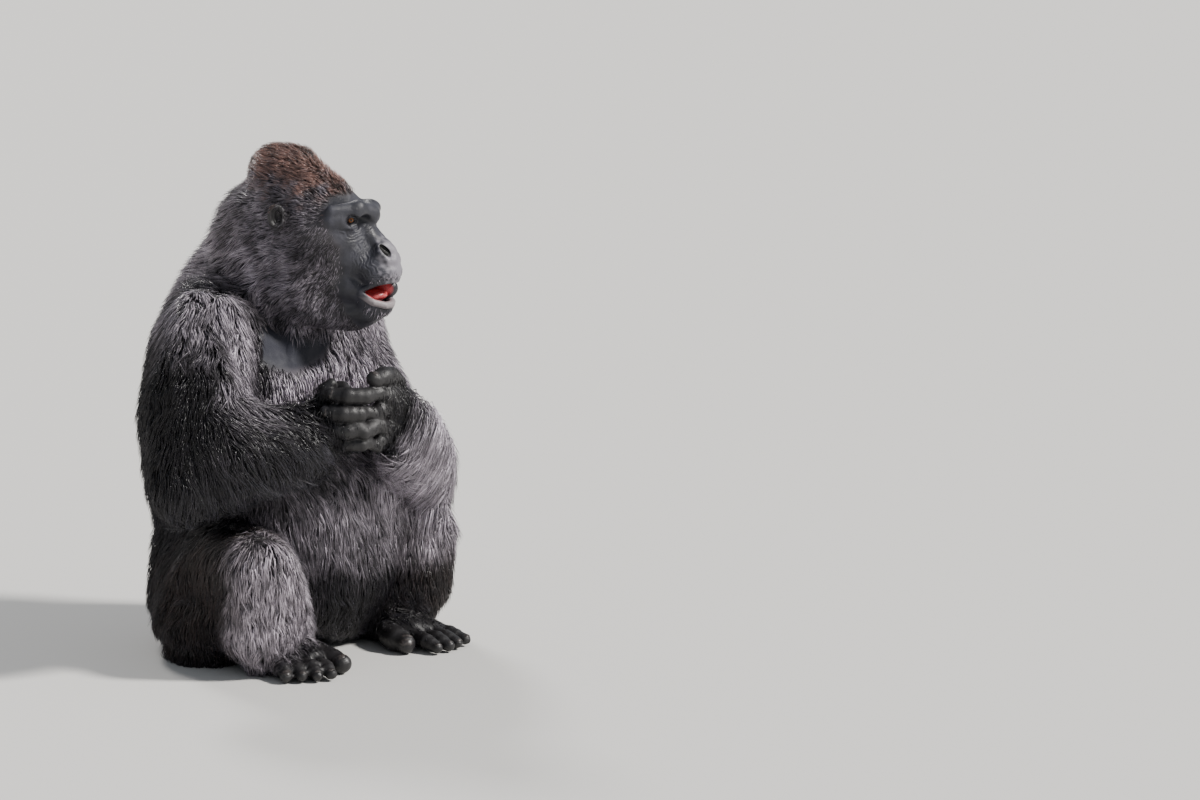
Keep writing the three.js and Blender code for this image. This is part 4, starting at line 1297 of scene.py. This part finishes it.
def makeSkinPaint():
    material, tree, shader = newPaint("skin")
    place = objectPlace(tree)
    blotch = noise(tree, place, 30.0, 5.0)
    grain = add(tree, "TexVoronoi", {"feature": "DISTANCE_TO_EDGE"}, Vector=place, Scale=620.0)
    fold = noise(tree, place, 140.0, 5.0)
    face = mixed(tree, ranged(tree, blotch, 0.35, 0.7), skinTones["slate"], skinTones["pale"])
    face = mixed(tree, mark(tree, "glow"), face, skinTones["nose"])
    face = mixed(tree, mark(tree, "breast"), face, skinTones["chest"])
    face = mixed(tree, mark(tree, "palm"), face, skinTones["palm"])
    coatTone = mixed(tree, 0.75, placed(tree, markings)["Color"], skinTones["under"])
    tone = mixed(tree, mark(tree, "bare"), coatTone, face)
    tone = mixed(tree, mark(tree, "rim"), tone, skinTones["rim"])
    tone = mixed(tree, mark(tree, "mouth"), tone, skinTones["mouth"])
    tone = mixed(tree, mark(tree, "dark"), tone, skinTones["nostril"])
    tree.links.new(tone, shader.inputs["Base Color"])
    rough = ranged(tree, blotch, 0.3, 0.7, 0.38, 0.56)
    wet = times(tree, mark(tree, "mouth"), -0.25)
    wet = plus(tree, wet, times(tree, mark(tree, "breast"), 0.25))
    tree.links.new(plus(tree, rough, wet), shader.inputs["Roughness"])
    pores = ranged(tree, grain.outputs["Distance"], 0.0, 0.30)
    height = plus(tree, times(tree, pores, 0.16), fold)
    bump = add(tree, "Bump", Height=height, Strength=0.6, Distance=0.0012)
    tree.links.new(bump.outputs[0], shader.inputs["Normal"])
    return material


skinPaint = makeSkinPaint()
skinPiece.data.materials.append(skinPaint)


def skinMarks(places):
    l, f, z = headPoints(places.T)
    half = mirrored((l, f, z))
    rows = marksAt(places)
    rows["bare"] = bareAt(places)
    naked = shareOf("hand", places) + shareOf("foot", places) + shareOf("digit", places)
    rows["bare"] = np.maximum(rows["bare"], smoothStep(naked, 0.5, 0.8))
    # Where the breast is bare it takes the chest tone, a painted shade from the head's shadow.
    rows["breast"] = smoothStep(shareOf("chest", places), 0.35, 0.55)
    ear = eggAt(half, face["ear"], (0.02, 0.02, 0.028))
    rows["palm"] = np.maximum(smoothStep(naked, 0.5, 0.8), 1 - smoothStep(ear, 0, 0.004))
    # Painted highlight where sunlight would shine on the nose and upper lip.
    nose = eggAt((l, f, z), (0, 0.212, -0.088), (0.040, 0.034, 0.052)) + 0.006 * waves(places, 0.012, 71)
    rows["glow"] = 1 - smoothStep(nose, -0.016, 0.016)
    inMouth = 1 - smoothStep(eggAt(half, *face["cavity"]), 0.0008, 0.0030)
    inMouth = inMouth * (1 - smoothStep(l, 0.011, 0.017)) * (1 - smoothStep(f, 0.203, 0.208))
    rows["mouth"] = inMouth * smoothStep(lipsAt(half), 0.0055, 0.0080)
    # Painted shade darkens the nostrils' hollows.
    rows["dark"] = 1 - smoothStep(eggAt(nostrilPoints(half), *face["nostril"]), 0.0002, 0.0016)
    rim = 0.9 * (1 - smoothStep(lineAt(half, face["lowerLip"]), 0.0072, 0.0095))
    rows["rim"] = rim * smoothStep(-z, 0.160, 0.172)
    return rows


setMarks(skinPiece, skinMarks(skinPoints))

eyeTones = {
    "pupil": (0.002, 0.002, 0.002),
    "white": (0.035, 0.018, 0.012),
    "ring": (0.020, 0.008, 0.004),
    "iris": (0.34, 0.13, 0.035),
    "deep": (0.10, 0.032, 0.010),
}
eyeAngles = {"pupil": (0.145, 0.170), "ring": (0.36, 0.43), "white": (0.43, 0.47)}  # from its front


def makeEyePaint():
    material, tree, shader = newPaint("eye", Coat_Weight=0.3, Coat_Roughness=0.03, Roughness=0.35)
    shader.inputs["Specular IOR Level"].default_value = 0.25
    place = objectPlace(tree)
    angle = mark(tree, "angle")
    streak = noise(tree, place, 900.0, 3.0)
    iris = mixed(tree, ranged(tree, streak, 0.3, 0.7), eyeTones["deep"], eyeTones["iris"])
    iris = mixed(tree, ranged(tree, angle, *eyeAngles["ring"]), iris, eyeTones["ring"])
    stain = ranged(tree, noise(tree, place, 300.0, 4.0), 0.4, 0.8)
    white = mixed(tree, stain, eyeTones["white"], eyeTones["ring"])
    tone = mixed(tree, ranged(tree, angle, *eyeAngles["white"]), iris, white)
    tone = mixed(tree, ranged(tree, angle, *eyeAngles["pupil"]), eyeTones["pupil"], tone)
    tree.links.new(tone, shader.inputs["Base Color"])
    return material


def makeTonguePaint():
    material, tree, shader = newPaint("mouth", Roughness=0.30, Coat_Weight=0.35, Coat_Roughness=0.15)
    place = objectPlace(tree)
    blotch = noise(tree, place, 90.0, 4.0)
    tone = mixed(tree, ranged(tree, blotch, 0.3, 0.7), skinTones["mouth"], skinTones["tongue"])
    tree.links.new(tone, shader.inputs["Base Color"])
    bump = add(tree, "Bump", Height=noise(tree, place, 900.0, 3.0), Strength=0.5, Distance=0.0006)
    tree.links.new(bump.outputs[0], shader.inputs["Normal"])
    return material


nailTones = {"dark": (0.020, 0.017, 0.017), "pale": (0.060, 0.052, 0.050)}


def makeNailPaint():
    material, tree, shader = newPaint("nail")
    place = objectPlace(tree)
    streak = noise(tree, place, 220.0, 4.0)
    tone = mixed(tree, ranged(tree, streak, 0.3, 0.7), nailTones["dark"], nailTones["pale"])
    tree.links.new(tone, shader.inputs["Base Color"])
    tree.links.new(ranged(tree, streak, 0.3, 0.7, 0.28, 0.45), shader.inputs["Roughness"])
    return material


eyePaint, tonguePaint, nailPaint = makeEyePaint(), makeTonguePaint(), makeNailPaint()
for side, piece in zip(sides, eyePieces):
    piece.data.materials.append(eyePaint)
    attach(piece, "root")
    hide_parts("eye_" + side)
tonguePiece.data.materials.append(tonguePaint)
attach(tonguePiece, "root")
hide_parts("tongue")
for piece, names in zip(nailPieces, (fingerNames, toeNames)):
    piece.data.materials.append(nailPaint)
    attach(piece, "root")

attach(skinPiece, "root")
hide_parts(*flesh)
for piece in coatMade:
    piece.data.materials.append(hairPaint)
    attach(piece, "root")

floorLook = {"half": 60, "tone": (0.62, 0.61, 0.59, 1), "rough": 0.8}
floorMesh = bmesh.new()
bmesh.ops.create_grid(floorMesh, x_segments=4, y_segments=4, size=floorLook["half"])
floorData = bpy.data.meshes.new("floor")
floorMesh.to_mesh(floorData)
floor = bpy.data.objects.new("floor", floorData)
bpy.context.scene.collection.objects.link(floor)
floorPaint, _, floorShader = newPaint("floorPaint", Roughness=floorLook["rough"])
floorShader.inputs["Base Color"].default_value = floorLook["tone"]
floorData.materials.append(floorPaint)
floor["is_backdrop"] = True
print("everything is painted")

low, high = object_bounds()
